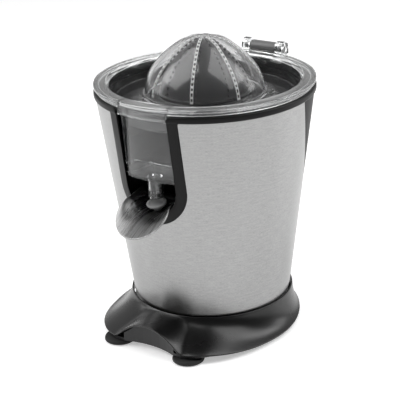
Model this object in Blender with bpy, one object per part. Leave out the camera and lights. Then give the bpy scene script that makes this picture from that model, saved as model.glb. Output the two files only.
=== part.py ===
"""Citrus press juicer: a clear juice bowl with a spinning reamer on a tapered steel body, over a geared motor.

Everything is built about the spindle axis, in a frame that stands on the table. One empty then carries the whole
machine a little backwards, so that the origin is under the middle of its bounding box. The front is -Y, where the
pouring spout is, and +X is to the right as seen from the front.
"""

import math

import bmesh
import bpy
from mathutils import Matrix, Vector

MM = 0.001
GAP = 0.3 * MM  # clearance between pieces that rest against each other
SPINDLE_Y = 5.9 * MM  # the spindle stands this far behind the middle of the bounding box
WELD = 0.002 * MM

# ---- The tapered body: its outer surface is a cone
BODY_LOW_Z = 25.5 * MM
BODY_LOW_R = 62.8 * MM
BODY_TOP_Z = 186.3 * MM
BODY_TOP_R = 83.8 * MM
SLEEVE_BOTTOM_Z = 19 * MM
SLEEVE_T = 0.8 * MM
ROUND = 40  # sides of the large round pieces

# ---- The front slot, a U seen from the front, and its plastic frame
SLOT_OUTER_R = 30 * MM
SLOT_INNER_R = 22.5 * MM
SLOT_CENTRE_Z = 131.6 * MM
BEZEL_TOP_Z = 191.5 * MM
BEZEL_T = 1.5 * MM
BEZEL_R = 85.1 * MM

# ---- The rear panel's slanted edges, as seen from the side
REAR_EDGE_TOP = (8 * MM, 188 * MM)
REAR_EDGE_SLOPE = 0.33

# ---- The juice collector
RIM_R = 85 * MM
RIM_Z = 197 * MM
BOWL_R = 72 * MM
BOWL_T = 2 * MM
BOWL_FLOOR_Z = 144 * MM
CHUTE_HALF = 22 * MM
CHUTE_BOTTOM_Z = 136.8 * MM
NOZZLE_Y = -68 * MM
NOZZLE_BOTTOM_Z = 122.1 * MM
HINGE_Y = 87 * MM
HINGE_Z = 198.5 * MM
KNUCKLE_IN_X = 12.5 * MM
KNUCKLE_OUT_X = 18.8 * MM

# ---- The spout and its pivot
SPOUT_PIVOT_Y = -46 * MM
SPOUT_PIVOT_Z = 112 * MM
SPOUT_T = 0.9 * MM
SCOOP_R = 21.0 * MM  # inner face, about the slot's own centre
SCOOP_SLOT_Y = -76 * MM
LIP_HALF = 22 * MM
LIP_Y = -84 * MM
LIP_Z = 116.4 * MM
SPOUT_TIP_Y = -104.7 * MM
SPOUT_TIP_Z = 101 * MM
SPOUT_ROOT_Y = -58 * MM
SPOUT_SWING_DEG = 11  # how far it tips up, which brings its tilted pad flat under the nozzle

# ---- The reamer cones
RIBS = 8
FIRST_RIB_DEG = -13.6  # from the front, towards +X
LARGE_CONE = ((3.0, 229.0), (11.5, 227.8), (21.6, 223.0), (32.0, 215.0), (40.4, 205.6), (45.2, 197.0), (46.9, 187.6))
SMALL_CONE = ((2.5, 225.4), (10.0, 222.2), (20.0, 214.0), (28.0, 204.0), (34.2, 188.0))
CONE_FOOT_Z = 184.6 * MM
FLANGE_R = 48.2 * MM

# ---- The flared base
COLLAR_R = 64.8 * MM
COLLAR_Z = 24.6 * MM
SKIRT_T = 1.8 * MM
ARCH_HALF = 31 * MM
ARCH_Z = 23 * MM
ARCH_Y = 90.4 * MM
PLATE_Z = (3.6 * MM, 6.0 * MM)
FOOT_ANGLE_DEG = 21.9
FOOT_OUT_R = 87.6 * MM
FOOT_R = 12.4 * MM
CORD_HOLE_R = 5.3 * MM
CORD_Z = 12.8 * MM
REAR_FOOT = (29 * MM, 50 * MM)
# The skirt's lower edge by degrees from the front: its plan radius and its height, in mm
SKIRT_EDGE = ((18.7, 95.4), (24, 95.6), (30, 94.6), (41, 90.6), (52, 85.8), (65.5, 80.6), (85, 76.2), (106, 72.4),
              (125, 70.6), (152, 70.6), (180, 71.0))
SKIRT_EDGE_Z = ((0, 6.4), (30, 6.4), (45, 5.2), (60, 4.0), (75, 3.8), (180, 3.8))

# ---- Motor and gears: module, tooth counts, heights
GEAR_MODULE = 1.25 * MM
OUTPUT_TEETH, MID_SMALL_TEETH = 44, 12
MID_LARGE_TEETH, MOTOR_TEETH = 36, 10
MID_X = -24.75 * MM
MID_Y = 24.75 * MM
SPINDLE_R = 5 * MM
GEARBOX_FLOOR_Z = 60 * MM
GEARBOX_COVER_Z = 96 * MM
COVER_T = 2.5 * MM


def clear_scene():
    for obj in list(bpy.data.objects):
        bpy.data.objects.remove(obj)


def body_r(z):
    """Outer radius of the tapered body at a height."""
    taper = (BODY_TOP_R - BODY_LOW_R) / (BODY_TOP_Z - BODY_LOW_Z)
    return BODY_LOW_R + (z - BODY_LOW_Z) * taper


# ------------------------------------------------------------------ helpers


def material(name, colour, roughness, metallic=0.0, alpha=1.0):
    made = bpy.data.materials.new(name)
    made.use_nodes = True
    shader = made.node_tree.nodes["Principled BSDF"]
    shader.inputs["Base Color"].default_value = (*colour, 1)
    shader.inputs["Roughness"].default_value = roughness
    shader.inputs["Metallic"].default_value = metallic
    shader.inputs["Alpha"].default_value = alpha
    return made


def add(name, bm, finish, centre=(0, 0, 0)):
    """Turns a bmesh into a named object on the spindle frame, with its origin at centre."""
    bmesh.ops.remove_doubles(bm, verts=bm.verts, dist=WELD)
    bmesh.ops.recalc_face_normals(bm, faces=bm.faces)
    bmesh.ops.translate(bm, verts=bm.verts, vec=-Vector(centre))
    mesh = bpy.data.meshes.new(name)
    bm.to_mesh(mesh)
    bm.free()
    mesh.shade_smooth()
    mesh.set_sharp_from_angle(angle=math.radians(35))
    obj = bpy.data.objects.new(name, mesh)
    bpy.context.scene.collection.objects.link(obj)
    obj.parent = FRAME
    obj.location = centre
    if finish is not None:
        obj.data.materials.append(finish)
    return obj


def lathe(profile, sides=ROUND, axis="Z", centre=(0, 0, 0)):
    """A closed profile of (radius, height) points, spun about an axis through centre."""
    bm = bmesh.new()
    verts = [bm.verts.new((r, 0, z)) for r, z in profile]
    edges = [bm.edges.new((verts[i], verts[(i + 1) % len(verts)])) for i in range(len(verts))]
    bmesh.ops.spin(
        bm, geom=verts + edges, cent=(0, 0, 0), axis=(0, 0, 1), angle=math.tau, steps=sides, use_merge=True
    )
    bmesh.ops.remove_doubles(bm, verts=bm.verts, dist=WELD)
    flat = [e for e in bm.edges if not e.link_faces]
    bmesh.ops.delete(bm, geom=flat, context="EDGES")
    turn = {"Z": Matrix(), "X": Matrix.Rotation(math.pi / 2, 4, "Y"), "Y": Matrix.Rotation(-math.pi / 2, 4, "X")}
    bm.transform(Matrix.Translation(centre) @ turn[axis])
    return bm


def tube(outer, inner, low, high, sides=24, axis="Z", centre=(0, 0, 0)):
    """A plain bush or washer. An inner radius of 0 gives a solid cylinder."""
    return lathe(((inner, low), (outer, low), (outer, high), (inner, high)), sides, axis, centre)


def prism(outline, low, high, axis="Z"):
    """An outline of (a, b) points pushed along an axis: (x, y) along Z, (x, z) along Y, (y, z) along X."""
    place = {
        "Z": lambda a, b, c: (a, b, c),
        "Y": lambda a, b, c: (a, c, b),
        "X": lambda a, b, c: (c, a, b),
    }[axis]
    bm = bmesh.new()
    face = bm.faces.new([bm.verts.new(place(a, b, low)) for a, b in outline])
    pushed = bmesh.ops.extrude_face_region(bm, geom=[face])["geom"]
    tops = [v for v in pushed if isinstance(v, bmesh.types.BMVert)]
    bmesh.ops.translate(bm, verts=tops, vec=place(0, 0, high - low))
    bmesh.ops.recalc_face_normals(bm, faces=bm.faces)
    return bm


def block(x, y, z):
    """A box between two limits on each axis."""
    return prism(((x[0], y[0]), (x[1], y[0]), (x[1], y[1]), (x[0], y[1])), z[0], z[1])


def shell(rings, closed=True):
    """Skins a list of rings of points, each ring a closed loop, the last joined to the first if closed."""
    bm = bmesh.new()
    made = [[bm.verts.new(p) for p in ring] for ring in rings]
    count = len(made[0])
    for i in range(len(made) if closed else len(made) - 1):
        one, two = made[i], made[(i + 1) % len(made)]
        for j in range(count):
            k = (j + 1) % count
            bm.faces.new((one[j], one[k], two[k], two[j]))
    if not closed:
        bm.faces.new(made[0])
        bm.faces.new(made[-1])
    return bm


def carve(obj, bm, operation="DIFFERENCE"):
    """Cuts, joins or intersects obj with a shape given in the spindle frame."""
    tool = add("tool", bm, None)
    modifier = obj.modifiers.new(operation.title(), "BOOLEAN")
    modifier.operation = operation
    modifier.solver = "EXACT"
    modifier.object = tool
    bpy.context.view_layer.update()
    graph = bpy.context.evaluated_depsgraph_get()
    mesh = bpy.data.meshes.new_from_object(obj.evaluated_get(graph))
    obj.modifiers.remove(modifier)
    bm = bmesh.new()
    bm.from_mesh(mesh)
    bmesh.ops.remove_doubles(bm, verts=bm.verts, dist=WELD)
    bmesh.ops.dissolve_degenerate(bm, edges=bm.edges, dist=WELD)
    bm.to_mesh(mesh)
    bm.free()
    obj.data = mesh
    bpy.data.objects.remove(tool)
    return obj


def arc(centre, radius, start_deg, end_deg, steps):
    """Points on an arc in a plane, both ends included."""
    turn = [math.radians(start_deg + (end_deg - start_deg) * i / steps) for i in range(steps + 1)]
    return [(centre[0] + radius * math.cos(t), centre[1] + radius * math.sin(t)) for t in turn]


def slot_outline(radius, top_z):
    """The U seen from the front: straight sides and a half-round bottom."""
    return [(radius, top_z), (-radius, top_z)] + arc((0, SLOT_CENTRE_Z), radius, 180, 360, 16)


def cone_shell(outer_off, thickness, low, high):
    """A ring of the tapered body between two heights, its outer face outer_off from the body's surface."""
    outer_low, outer_high = body_r(low) + outer_off, body_r(high) + outer_off
    return lathe(((outer_low, low), (outer_high, high), (outer_high - thickness, high), (outer_low - thickness, low)))


def rear_wedge(gap):
    """Everything behind the slanted edge of the rear panel, moved back by gap."""
    y, z = REAR_EDGE_TOP
    bottom = SLEEVE_BOTTOM_Z - 5 * MM
    edge_y = y + (z - bottom) * REAR_EDGE_SLOPE
    behind, above = 120 * MM, 5 * MM
    top_y = y - above * REAR_EDGE_SLOPE
    outline = ((top_y + gap, z + above), (behind, z + above), (behind, bottom), (edge_y + gap, bottom))
    return prism(outline, -behind, behind, "X")


# ------------------------------------------------------------------ base


def through(keys, deg):
    """The value at deg of a smooth curve through (degrees, value) keys, in metres."""
    i = min(max(sum(deg > a for a, _ in keys), 1), len(keys) - 1)
    (a, r), (b, s) = keys[i - 1], keys[i]
    before, after = keys[max(i - 2, 0)], keys[min(i + 1, len(keys) - 1)]
    start = (s - before[1]) / (b - before[0]) * (b - a)
    end = (after[1] - r) / (after[0] - a) * (b - a)
    t = min((deg - a) / (b - a), 1.0)
    blend = (2 * t**3 - 3 * t**2 + 1) * r + (t**3 - 2 * t**2 + t) * start
    blend += (3 * t**2 - 2 * t**3) * s + (t**3 - t**2) * end
    return blend * MM


def edge_radius(angle):
    """Plan radius of the skirt's lower edge, by angle from the front. It is straight across under the arch."""
    deg = abs(math.degrees(angle))
    return ARCH_Y / math.cos(angle) if deg <= SKIRT_EDGE[0][0] else through(SKIRT_EDGE, deg)


def edge_height(angle):
    """Height of the skirt's lower edge: an arch between the front feet, and lower along the sides than at the feet."""
    level = through(SKIRT_EDGE_Z, abs(math.degrees(angle)))
    x = abs(edge_radius(angle) * math.sin(angle))
    if math.cos(angle) < 0 or x >= ARCH_HALF:
        return level
    return ARCH_Z - (ARCH_Z - level) * (x / ARCH_HALF) ** 2


def side_share(angle, start=30, end=65):
    """0 over the front lobes, 1 along the sides and back."""
    t = min(max((abs(math.degrees(angle)) - start) / (end - start), 0), 1)
    return t * t * (3 - 2 * t)


def skirt_profile(angle, steps=6):
    """(radius, height) points from the collar down and out to the lower edge: concave, fuller over the front lobes."""
    r, z = edge_radius(angle), edge_height(angle)
    low = min((ARCH_Z - z) / (16 * MM), 1)  # 0 on top of the arch, 1 where the edge is low
    side = side_share(angle)
    reach = r - COLLAR_R
    p0 = (COLLAR_R, COLLAR_Z)
    p1 = (COLLAR_R + 0.05 * reach, COLLAR_Z - 3 * MM - 7 * MM * low)
    p2 = (r - (0.2 + 0.35 * side) * reach, z + (1 - 0.4 * side) * MM + (4 - 3.2 * side) * MM * low)
    p3 = (r, z)
    points = []
    for i in range(steps + 1):
        t = i / steps
        weights = ((1 - t) ** 3, 3 * t * (1 - t) ** 2, 3 * t * t * (1 - t), t ** 3)
        points.append(tuple(sum(w * p[k] for w, p in zip(weights, (p0, p1, p2, p3))) for k in (0, 1)))
    return points


def inner_skin(points, thickness, least_r):
    """The same profile moved inwards by a wall thickness, no closer to the axis than least_r."""
    moved = []
    for i, (r, z) in enumerate(points):
        a, b = points[max(i - 1, 0)], points[min(i + 1, len(points) - 1)]
        along = Vector((b[0] - a[0], b[1] - a[1])).normalized()
        moved.append((max(r + along.y * thickness, least_r), z - along.x * thickness))
    moved[0] = (least_r, points[0][1])
    moved[-1] = (moved[-1][0], points[-1][1])
    return moved


def skirt_angles():
    """Angles for the skirt's sections: close together over the front lobes, where it curves most."""
    half = [0, 5, 10, 15, 18.75, 21.5, 26, 32, 40, 50, 62, 74, 86, 98, 110, 122, 134, 146, 158, 169, 180]
    whole = half + [-a for a in reversed(half[1:-1])]
    return [math.radians(a) for a in whole]


def around(angle, r, z):
    """A point at a plan angle from the front, towards +X."""
    return (r * math.sin(angle), -r * math.cos(angle), z)


def make_base():
    rings = []
    for angle in skirt_angles():
        outer = skirt_profile(angle)
        inner = inner_skin(outer, SKIRT_T, body_r(COLLAR_Z) + GAP + 0.4 * MM)  # room for its flat facets
        rings.append([around(angle, r, z) for r, z in outer + inner[::-1]])
    skirt = add("base_skirt", shell(rings), BLACK_GLOSS)
    carve(skirt, tube(CORD_HOLE_R, 0, 60 * MM, 90 * MM, 16, "Y", (0, 0, CORD_Z)))

    outline = []
    for angle in skirt_angles():
        r = edge_radius(angle) - 2.4 * MM - 8 * MM * side_share(angle, 24, 50)
        x, y = r * math.sin(angle), -r * math.cos(angle)
        if math.cos(angle) > 0 and abs(x) < ARCH_HALF:
            y = max(y, -83.6 * MM - 4.5 * MM * (x / (24 * MM)) ** 2)
        outline.append((x, y))
    plate = add("base_plate", prism(outline, *PLATE_Z), GREY_PLASTIC)
    front = [p for p in outline if abs(p[0]) < ARCH_HALF - 3 * MM and p[1] < 0]
    front.sort()
    wall = []
    for x, y in front:
        top = ARCH_Z - (ARCH_Z - SKIRT_EDGE_Z[0][1] * MM) * (x / ARCH_HALF) ** 2 - 2.8 * MM
        wall.append([(x, y, PLATE_Z[0] + 1 * MM), (x, y, top), (x, y + 2 * MM, top), (x, y + 2 * MM, PLATE_Z[0] + 1 * MM)])
    carve(plate, shell(wall, closed=False), "UNION")
    for i in range(5):
        x = (i - 2) * 9 * MM
        carve(plate, block((x - 1.5 * MM, x + 1.5 * MM), (-30 * MM, 10 * MM), (0, 10 * MM)))
    for x, y in foot_places():
        carve(plate, tube(4 * MM + GAP, 0, 0, 10 * MM, 12, "Z", (x, y, 0)))

    for (x, y), name in zip(foot_places(), ("front_left", "front_right", "rear_right", "rear_left")):
        profile = ((0, 0), (FOOT_R - 1 * MM, 0), (FOOT_R, 1 * MM), (FOOT_R - 0.6 * MM, PLATE_Z[0] - GAP),
                   (4 * MM, PLATE_Z[0] - GAP), (4 * MM, 5.9 * MM), (0, 5.9 * MM))
        add("foot_" + name, lathe(profile, 20, "Z", (x, y, 0)), RUBBER, (x, y, 0))

    ring = add("sleeve_seat_ring", tube(62.4 * MM, 59.4 * MM, PLATE_Z[1] + GAP, SLEEVE_BOTTOM_Z - GAP, ROUND), GREY_PLASTIC)
    carve(ring, tube(CORD_HOLE_R, 0, 50 * MM, 90 * MM, 16, "Y", (0, 0, CORD_Z)))
    bush = ((2.6, 56.6), (5.9, 56.6), (5.9, 58.4), (4.9, 58.7), (4.9, 77), (3.8, 84), (2.6, 84))
    profile = [(r * MM, y * MM) for r, y in bush]
    add("cord_bush", lathe(profile, 16, "Y", (0, 0, CORD_Z)), RUBBER)


def foot_places():
    """(x, y) of the four feet, in the order front left, front right, rear right, rear left."""
    a = math.radians(FOOT_ANGLE_DEG)
    x, y = FOOT_OUT_R * math.sin(a), -FOOT_OUT_R * math.cos(a)
    return ((-x, y), (x, y), REAR_FOOT, (-REAR_FOOT[0], REAR_FOOT[1]))


# ------------------------------------------------------------------ body shells


def make_body():
    sleeve = add("steel_sleeve", cone_shell(0, SLEEVE_T, SLEEVE_BOTTOM_Z, BODY_TOP_Z), STEEL)
    carve(sleeve, prism(slot_outline(SLOT_OUTER_R + GAP, 210 * MM), -110 * MM, -30 * MM, "Y"))
    carve(sleeve, rear_wedge(-GAP))

    panel = add("rear_panel", cone_shell(-0.1 * MM, 1.0 * MM, SLEEVE_BOTTOM_Z, BODY_TOP_Z - GAP), BLACK_SATIN)
    carve(panel, rear_wedge(GAP), "INTERSECT")

    proud = 0.5 * MM
    bezel = add("top_bezel", cone_shell(proud, BEZEL_T, 90 * MM, 190 * MM), BLACK_SATIN)
    carve(bezel, prism(slot_outline(SLOT_OUTER_R, 189.5 * MM), -110 * MM, -30 * MM, "Y"), "INTERSECT")
    low = BODY_TOP_Z + GAP
    ring = ((77 * MM, low), (BEZEL_R - 0.4 * MM, low), (BEZEL_R, low + 1 * MM), (BEZEL_R, BEZEL_TOP_Z - 1 * MM),
            (BEZEL_R - 1 * MM, BEZEL_TOP_Z), (77 * MM, BEZEL_TOP_Z))
    carve(bezel, lathe(ring), "UNION")
    carve(bezel, prism(slot_outline(SLOT_INNER_R, 210 * MM), -110 * MM, -30 * MM, "Y"))


def make_inner_cup():
    """The fixed black cup that the juice collector drops into, with the tower that guides the spindle."""
    profile = ((7.6, 134), (72, 134), (76.6, 142), (76.6, 186), (74.7, 186), (74.7, 143.3), (71, 136.5), (12, 136.5),
               (12, 158), (7.6, 158))
    cup = add("inner_cup", lathe([(r * MM, z * MM) for r, z in profile]), BLACK_SATIN)
    carve(cup, block((-23.2 * MM, 23.2 * MM), (-90 * MM, -42 * MM), (120 * MM, 200 * MM)))
    add("upper_bush", tube(7.6 * MM - 0.1 * MM, SPINDLE_R + 0.08 * MM, 146 * MM, 157 * MM), BRASS)
    add("shaft_seal", tube(10 * MM, SPINDLE_R + 0.15 * MM, 158.3 * MM, 160.6 * MM), RUBBER)


def make_spout_pocket():
    """The dark recess behind the slot that the spout swings in. It is open at the front and at the top."""
    wall = 2 * MM
    half = SLOT_INNER_R + 0.4 * MM
    front, back = -66.8 * MM, -37 * MM
    low, high = 103 * MM, 133.6 * MM
    pocket = add("spout_pocket", block((-half - wall, half + wall), (front, back), (low, high)), BLACK_SATIN)
    carve(pocket, block((-half, half), (front - 5 * MM, back - wall), (low + wall, high + 5 * MM)))
    carve(pocket, tube(1.6 * MM, 0, -30 * MM, 30 * MM, 12, "X", (0, SPOUT_PIVOT_Y, SPOUT_PIVOT_Z)))
    pin = tube(1.5 * MM, 0, -half - wall + GAP, half + wall - GAP, 12, "X", (0, SPOUT_PIVOT_Y, SPOUT_PIVOT_Z))
    add("spout_pin", pin, STEEL)


# ------------------------------------------------------------------ spout


def spout_point(row, share):
    """A point on the scoop's inner face. Rows 0 to 3 run level through the slot, rows 3 to 8 spread to the lip."""
    level = min(row, 3) / 3
    edge_deg = 69 - 7.5 * level  # the sides get lower towards the slot
    turn = math.radians(edge_deg * share)
    x = SCOOP_R * math.sin(turn)
    y = SPOUT_ROOT_Y + (SCOOP_SLOT_Y - SPOUT_ROOT_Y) * level
    z = SLOT_CENTRE_Z - SCOOP_R * math.cos(turn)
    spread = max(row - 3, 0) / 5
    s, c = math.sin(math.pi / 2 * share), math.cos(math.pi / 2 * share)
    lip = (LIP_HALF * s, LIP_Y + (SPOUT_TIP_Y - LIP_Y) * c, LIP_Z + (SPOUT_TIP_Z - LIP_Z) * c)
    return Vector((x + (lip[0] - x) * spread, y + (lip[1] - y) * spread, z + (lip[2] - z) * spread ** 1.5))


def make_spout():
    rings = []
    for row in range(9):
        inner = [spout_point(row, i / 6) for i in range(-6, 7)]
        outer = []
        for i, p in zip(range(-6, 7), inner):
            turn = math.radians(15 * i * 0.72)
            outer.append(p + Vector((math.sin(turn) * SPOUT_T, 0, -math.cos(turn) * SPOUT_T)))
        rings.append(inner + outer[::-1])
    pivot = (0, SPOUT_PIVOT_Y, SPOUT_PIVOT_Z)
    add("spout_scoop", shell(rings, closed=False), STEEL, pivot)

    hub = add("spout_hub", tube(3.4 * MM, 0, -16 * MM, 16 * MM, 16, "X", pivot), BLACK_SATIN, pivot)
    y = SPOUT_PIVOT_Y
    root = SPOUT_ROOT_Y + 0.5 * MM
    tongue = ((y - 20 * MM, 107.2 * MM), (y, 107.2 * MM), (y, 112 * MM), (root, 112 * MM), (root, 109.3 * MM),
              (y - 20 * MM, 109.3 * MM))
    carve(hub, prism(tongue, -8 * MM, 8 * MM, "X"), "UNION")
    carve(hub, tube(1.8 * MM, 0, -20 * MM, 20 * MM, 16, "X", pivot))
    seal = ((0, -6.3), (3, -6.3), (3, -2.1), (7, -2.1), (7.7, -1.4), (7.7, -0.4), (7.2, 0), (0, 0))
    pad = lathe([(r * MM, z * MM) for r, z in seal], 20)
    tilt = Matrix.Rotation(math.radians(SPOUT_SWING_DEG), 4, "X")
    pad.transform(Matrix.Translation((0, -68 * MM, 117.5 * MM)) @ tilt)
    add("spout_seal", pad, SILICONE, pivot)


# ------------------------------------------------------------------ juice collector and strainer


def make_collector():
    inner, outer = BOWL_R, BOWL_R + BOWL_T
    floor = BOWL_FLOOR_Z
    step_low = BEZEL_TOP_Z + GAP
    profile = (
        (13.2 * MM, 166 * MM), (15.2 * MM, 166 * MM), (15.2 * MM, floor + BOWL_T), (inner - 4 * MM, floor + BOWL_T),
        (inner, floor + 6 * MM), (inner, 171 * MM), (inner - 1.6 * MM, 172.4 * MM), (inner - 1.6 * MM, 173.1 * MM),
        (inner, 173.1 * MM), (inner, 190 * MM), (inner + 1.2 * MM, RIM_Z - 2.2 * MM), (inner + 3.6 * MM, RIM_Z),
        (RIM_R - 0.9 * MM, RIM_Z), (RIM_R, RIM_Z - 0.9 * MM), (RIM_R, RIM_Z - 2.9 * MM), (RIM_R - 1.4 * MM, RIM_Z - 3 * MM),
        (RIM_R - 1.4 * MM, step_low), (RIM_R - 4 * MM, step_low), (RIM_R - 4 * MM, RIM_Z - 3 * MM),
        (outer, RIM_Z - 3 * MM), (outer, floor + 5 * MM), (inner - 3 * MM, floor), (13.2 * MM, floor),
    )
    bowl = add("juice_collector", lathe(profile), CLEAR)
    carve(bowl, make_chute(CHUTE_HALF, 0, RIM_Z - 1.5 * MM), "UNION")
    nozzle = (0, NOZZLE_Y, 0)
    carve(bowl, tube(6 * MM, 0, NOZZLE_BOTTOM_Z, CHUTE_BOTTOM_Z + 1 * MM, 20, "Z", nozzle), "UNION")
    carve(bowl, make_chute(CHUTE_HALF - BOWL_T, BOWL_T, RIM_Z - 3.7 * MM))
    carve(bowl, tube(BOWL_R - 0.05 * MM, 0, 176 * MM, 210 * MM, ROUND))  # the strainer lifts out through here
    carve(bowl, tube(4.4 * MM, 0, NOZZLE_BOTTOM_Z - 5 * MM, CHUTE_BOTTOM_Z + 5 * MM, 20, "Z", nozzle))

    for side in (-1, 1):
        a, b = sorted((side * KNUCKLE_IN_X, side * KNUCKLE_OUT_X))
        low, high = RIM_Z - 2.5 * MM, HINGE_Z + 1.2 * MM
        outline = [(81 * MM, low), (92 * MM, low)] + arc((HINGE_Y, high), 5.4 * MM, 10, 170, 6)
        carve(bowl, prism(outline, a, b, "X"), "UNION")
    notch = KNUCKLE_IN_X + 0.05 * MM
    carve(bowl, block((-notch, notch), (81.7 * MM, 95 * MM), (185 * MM, 200 * MM)))
    carve(bowl, tube(2.8 * MM, 0, -30 * MM, 30 * MM, 12, "X", (0, HINGE_Y, HINGE_Z)))
    barrel, pin = 5 * MM, 2.5 * MM
    half, end = KNUCKLE_IN_X - 0.4 * MM, KNUCKLE_OUT_X - 1 * MM
    rod = ((0, -end), (pin, -end), (pin, -half), (barrel, -half), (barrel, half), (pin, half), (pin, end), (0, end))
    add("lid_hinge_rod", lathe(rod, 16, "X", (0, HINGE_Y, HINGE_Z)), GREY_PLASTIC)


def make_chute(half, wall, top):
    """The channel down the front of the bowl: a box whose front follows the slot, less a wall's thickness."""
    low = CHUTE_BOTTOM_Z + wall
    back_low, back_high = -61 * MM - wall, -70.6 * MM + wall * 3
    side = ((-100 * MM, low), (back_low, low), (back_low, BOWL_FLOOR_Z + 1 * MM + wall), (back_high, BOWL_FLOOR_Z + 1 * MM + wall),
            (back_high, top), (-100 * MM, top))
    chute = add("chute", prism(side, -half, half, "X"), None)
    front_low, front_high = 76.1 * MM - wall, 79.5 * MM - wall
    step_z = BODY_TOP_Z + wall * 0.4
    rounded = ((0, low - 5 * MM), (front_low, low - 5 * MM), (front_high, step_z), (RIM_R - 1.7 * MM - wall, step_z),
               (RIM_R - 1.7 * MM - wall, top + 5 * MM), (0, top + 5 * MM))
    carve(chute, lathe(rounded), "INTERSECT")
    bm = bmesh.new()
    bm.from_mesh(chute.data)
    bpy.data.objects.remove(chute)
    return bm


def make_strainer():
    profile = (
        (16 * MM, 171.5 * MM), (16 * MM, 167.2 * MM), (18 * MM, 167.2 * MM), (18 * MM, 169.4 * MM), (70 * MM, 173.6 * MM),
        (71.5 * MM, 174.6 * MM), (71.5 * MM, 182 * MM), (69.9 * MM, 182 * MM), (69.9 * MM, 175.3 * MM), (18 * MM, 171.5 * MM),
    )
    strainer = add("pulp_strainer", lathe(profile), SMOKE)
    slots, inner, outer, half = 14, 26 * MM, 45 * MM, 1.3 * MM
    for i in range(slots):
        bm = block((inner, outer), (-half, half), (160 * MM, 180 * MM))
        bm.transform(Matrix.Rotation(math.tau * i / slots, 4, "Z"))
        carve(strainer, bm)


# ------------------------------------------------------------------ reamer cones


def rib_angles(rib_half_deg):
    """Angles round a cone: a blunt rib every 360 / RIBS degrees with a shallow flute between, and each angle's rib share."""
    pitch = 360 / RIBS
    places = ((-rib_half_deg - 1.2, 0), (-rib_half_deg, 1), (rib_half_deg, 1), (rib_half_deg + 1.2, 0), (pitch * 0.5, 0))
    return [(math.radians(FIRST_RIB_DEG + i * pitch + a), share) for i in range(RIBS) for a, share in places]


def dome(points, rib_height, rib_half_deg):
    """Rings of the outer face of a cone, top to bottom. Points are where the ribs' crests lie."""
    rings = []
    for r, z in points:
        height = min(rib_height, r * MM * 0.25)
        rings.append([around(a, r * MM - height * (1 - share), z * MM) for a, share in rib_angles(rib_half_deg)])
    return rings


def make_cones():
    wall = 2 * MM
    rings = dome(LARGE_CONE, 1.7 * MM, 1.9)
    angles = [a for a, _ in rib_angles(1.9)]
    foot = CONE_FOOT_Z / MM
    for r, z in ((46.9, foot + 1.8), (FLANGE_R / MM, foot + 1.6), (FLANGE_R / MM, foot), (43.2, foot)):
        rings.append([around(a, r * MM, z * MM) for a in angles])
    for r, z in LARGE_CONE[::-1]:
        rings.append([around(a, max(r * MM - wall - 1.6 * MM, 1 * MM), z * MM - wall) for a in angles])
    add("large_cone", shell(rings, closed=False), CLEAR)

    rings = dome(SMALL_CONE, 1.4 * MM, 2.4)
    angles = [a for a, _ in rib_angles(2.4)]
    for r, z in ((35.6, 186.4), (35.6, CONE_FOOT_Z / MM), (32.4, CONE_FOOT_Z / MM), (30, 192), (19, 207), (9, 213),
                 (8.4, 188), (6.2, 188)):
        rings.append([around(a, r * MM, z * MM) for a in angles])
    rings.append([around(a, 6.2 * MM, 189 * MM) for a in angles])
    small = add("small_cone", shell(rings, closed=False), CHARCOAL)
    carve(small, prism(arc((0, 0), 5.6 * MM, 0, 300, 5), 180 * MM, 208 * MM))


# ------------------------------------------------------------------ drive


def gear_outline(teeth, phase=0.0):
    """Straight-flanked teeth with backlash: (x, y) points round the gear. A tooth stands at the phase angle."""
    pitch_r = teeth * GEAR_MODULE / 2
    tip, root = pitch_r + 0.85 * GEAR_MODULE, pitch_r - 1.2 * GEAR_MODULE
    step = math.tau / teeth
    shape = ((-0.29, root), (-0.10, tip), (0.10, tip), (0.29, root))
    return [
        (r * math.cos(phase + step * (i + share)), r * math.sin(phase + step * (i + share)))
        for i in range(teeth)
        for share, r in shape
    ]


def motor_place():
    """The motor stands beside the middle gear, on a line along +X."""
    apart = (MID_LARGE_TEETH + MOTOR_TEETH) * GEAR_MODULE / 2
    return MID_X + apart, MID_Y


def gear(name, teeth, phase, low, high, bore, centre, finish):
    made = add(name, prism(gear_outline(teeth, phase), low, high), finish)
    made.data.transform(Matrix.Translation((centre[0], centre[1], 0)))
    carve(made, tube(bore, 0, low - MM, high + MM, 16, "Z", (centre[0], centre[1], 0)))
    return made


def make_spindle():
    shaft = add("spindle_shaft", tube(SPINDLE_R, 0, 64.5 * MM, 168 * MM, 24), POLISHED)
    shaft.data.update()
    add("drive_hex", prism(arc((0, 0), 5.2 * MM, 0, 300, 5), 168.2 * MM, 206 * MM), GREY_PLASTIC)
    gear("output_gear", OUTPUT_TEETH, 0, 87 * MM, 95.4 * MM, SPINDLE_R + 0.3 * MM, (0, 0), NYLON)
    add("spindle_clip", tube(8 * MM, SPINDLE_R + 0.25 * MM, 116.4 * MM, 117.9 * MM, 16), POLISHED)
    collar = add("thrust_collar", tube(12 * MM, SPINDLE_R + 0.1 * MM, 112 * MM, 116 * MM), NYLON)
    carve(collar, block((10 * MM, 28 * MM), (-4 * MM, 4 * MM), (112 * MM, 115 * MM)), "UNION")
    make_spring()


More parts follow.
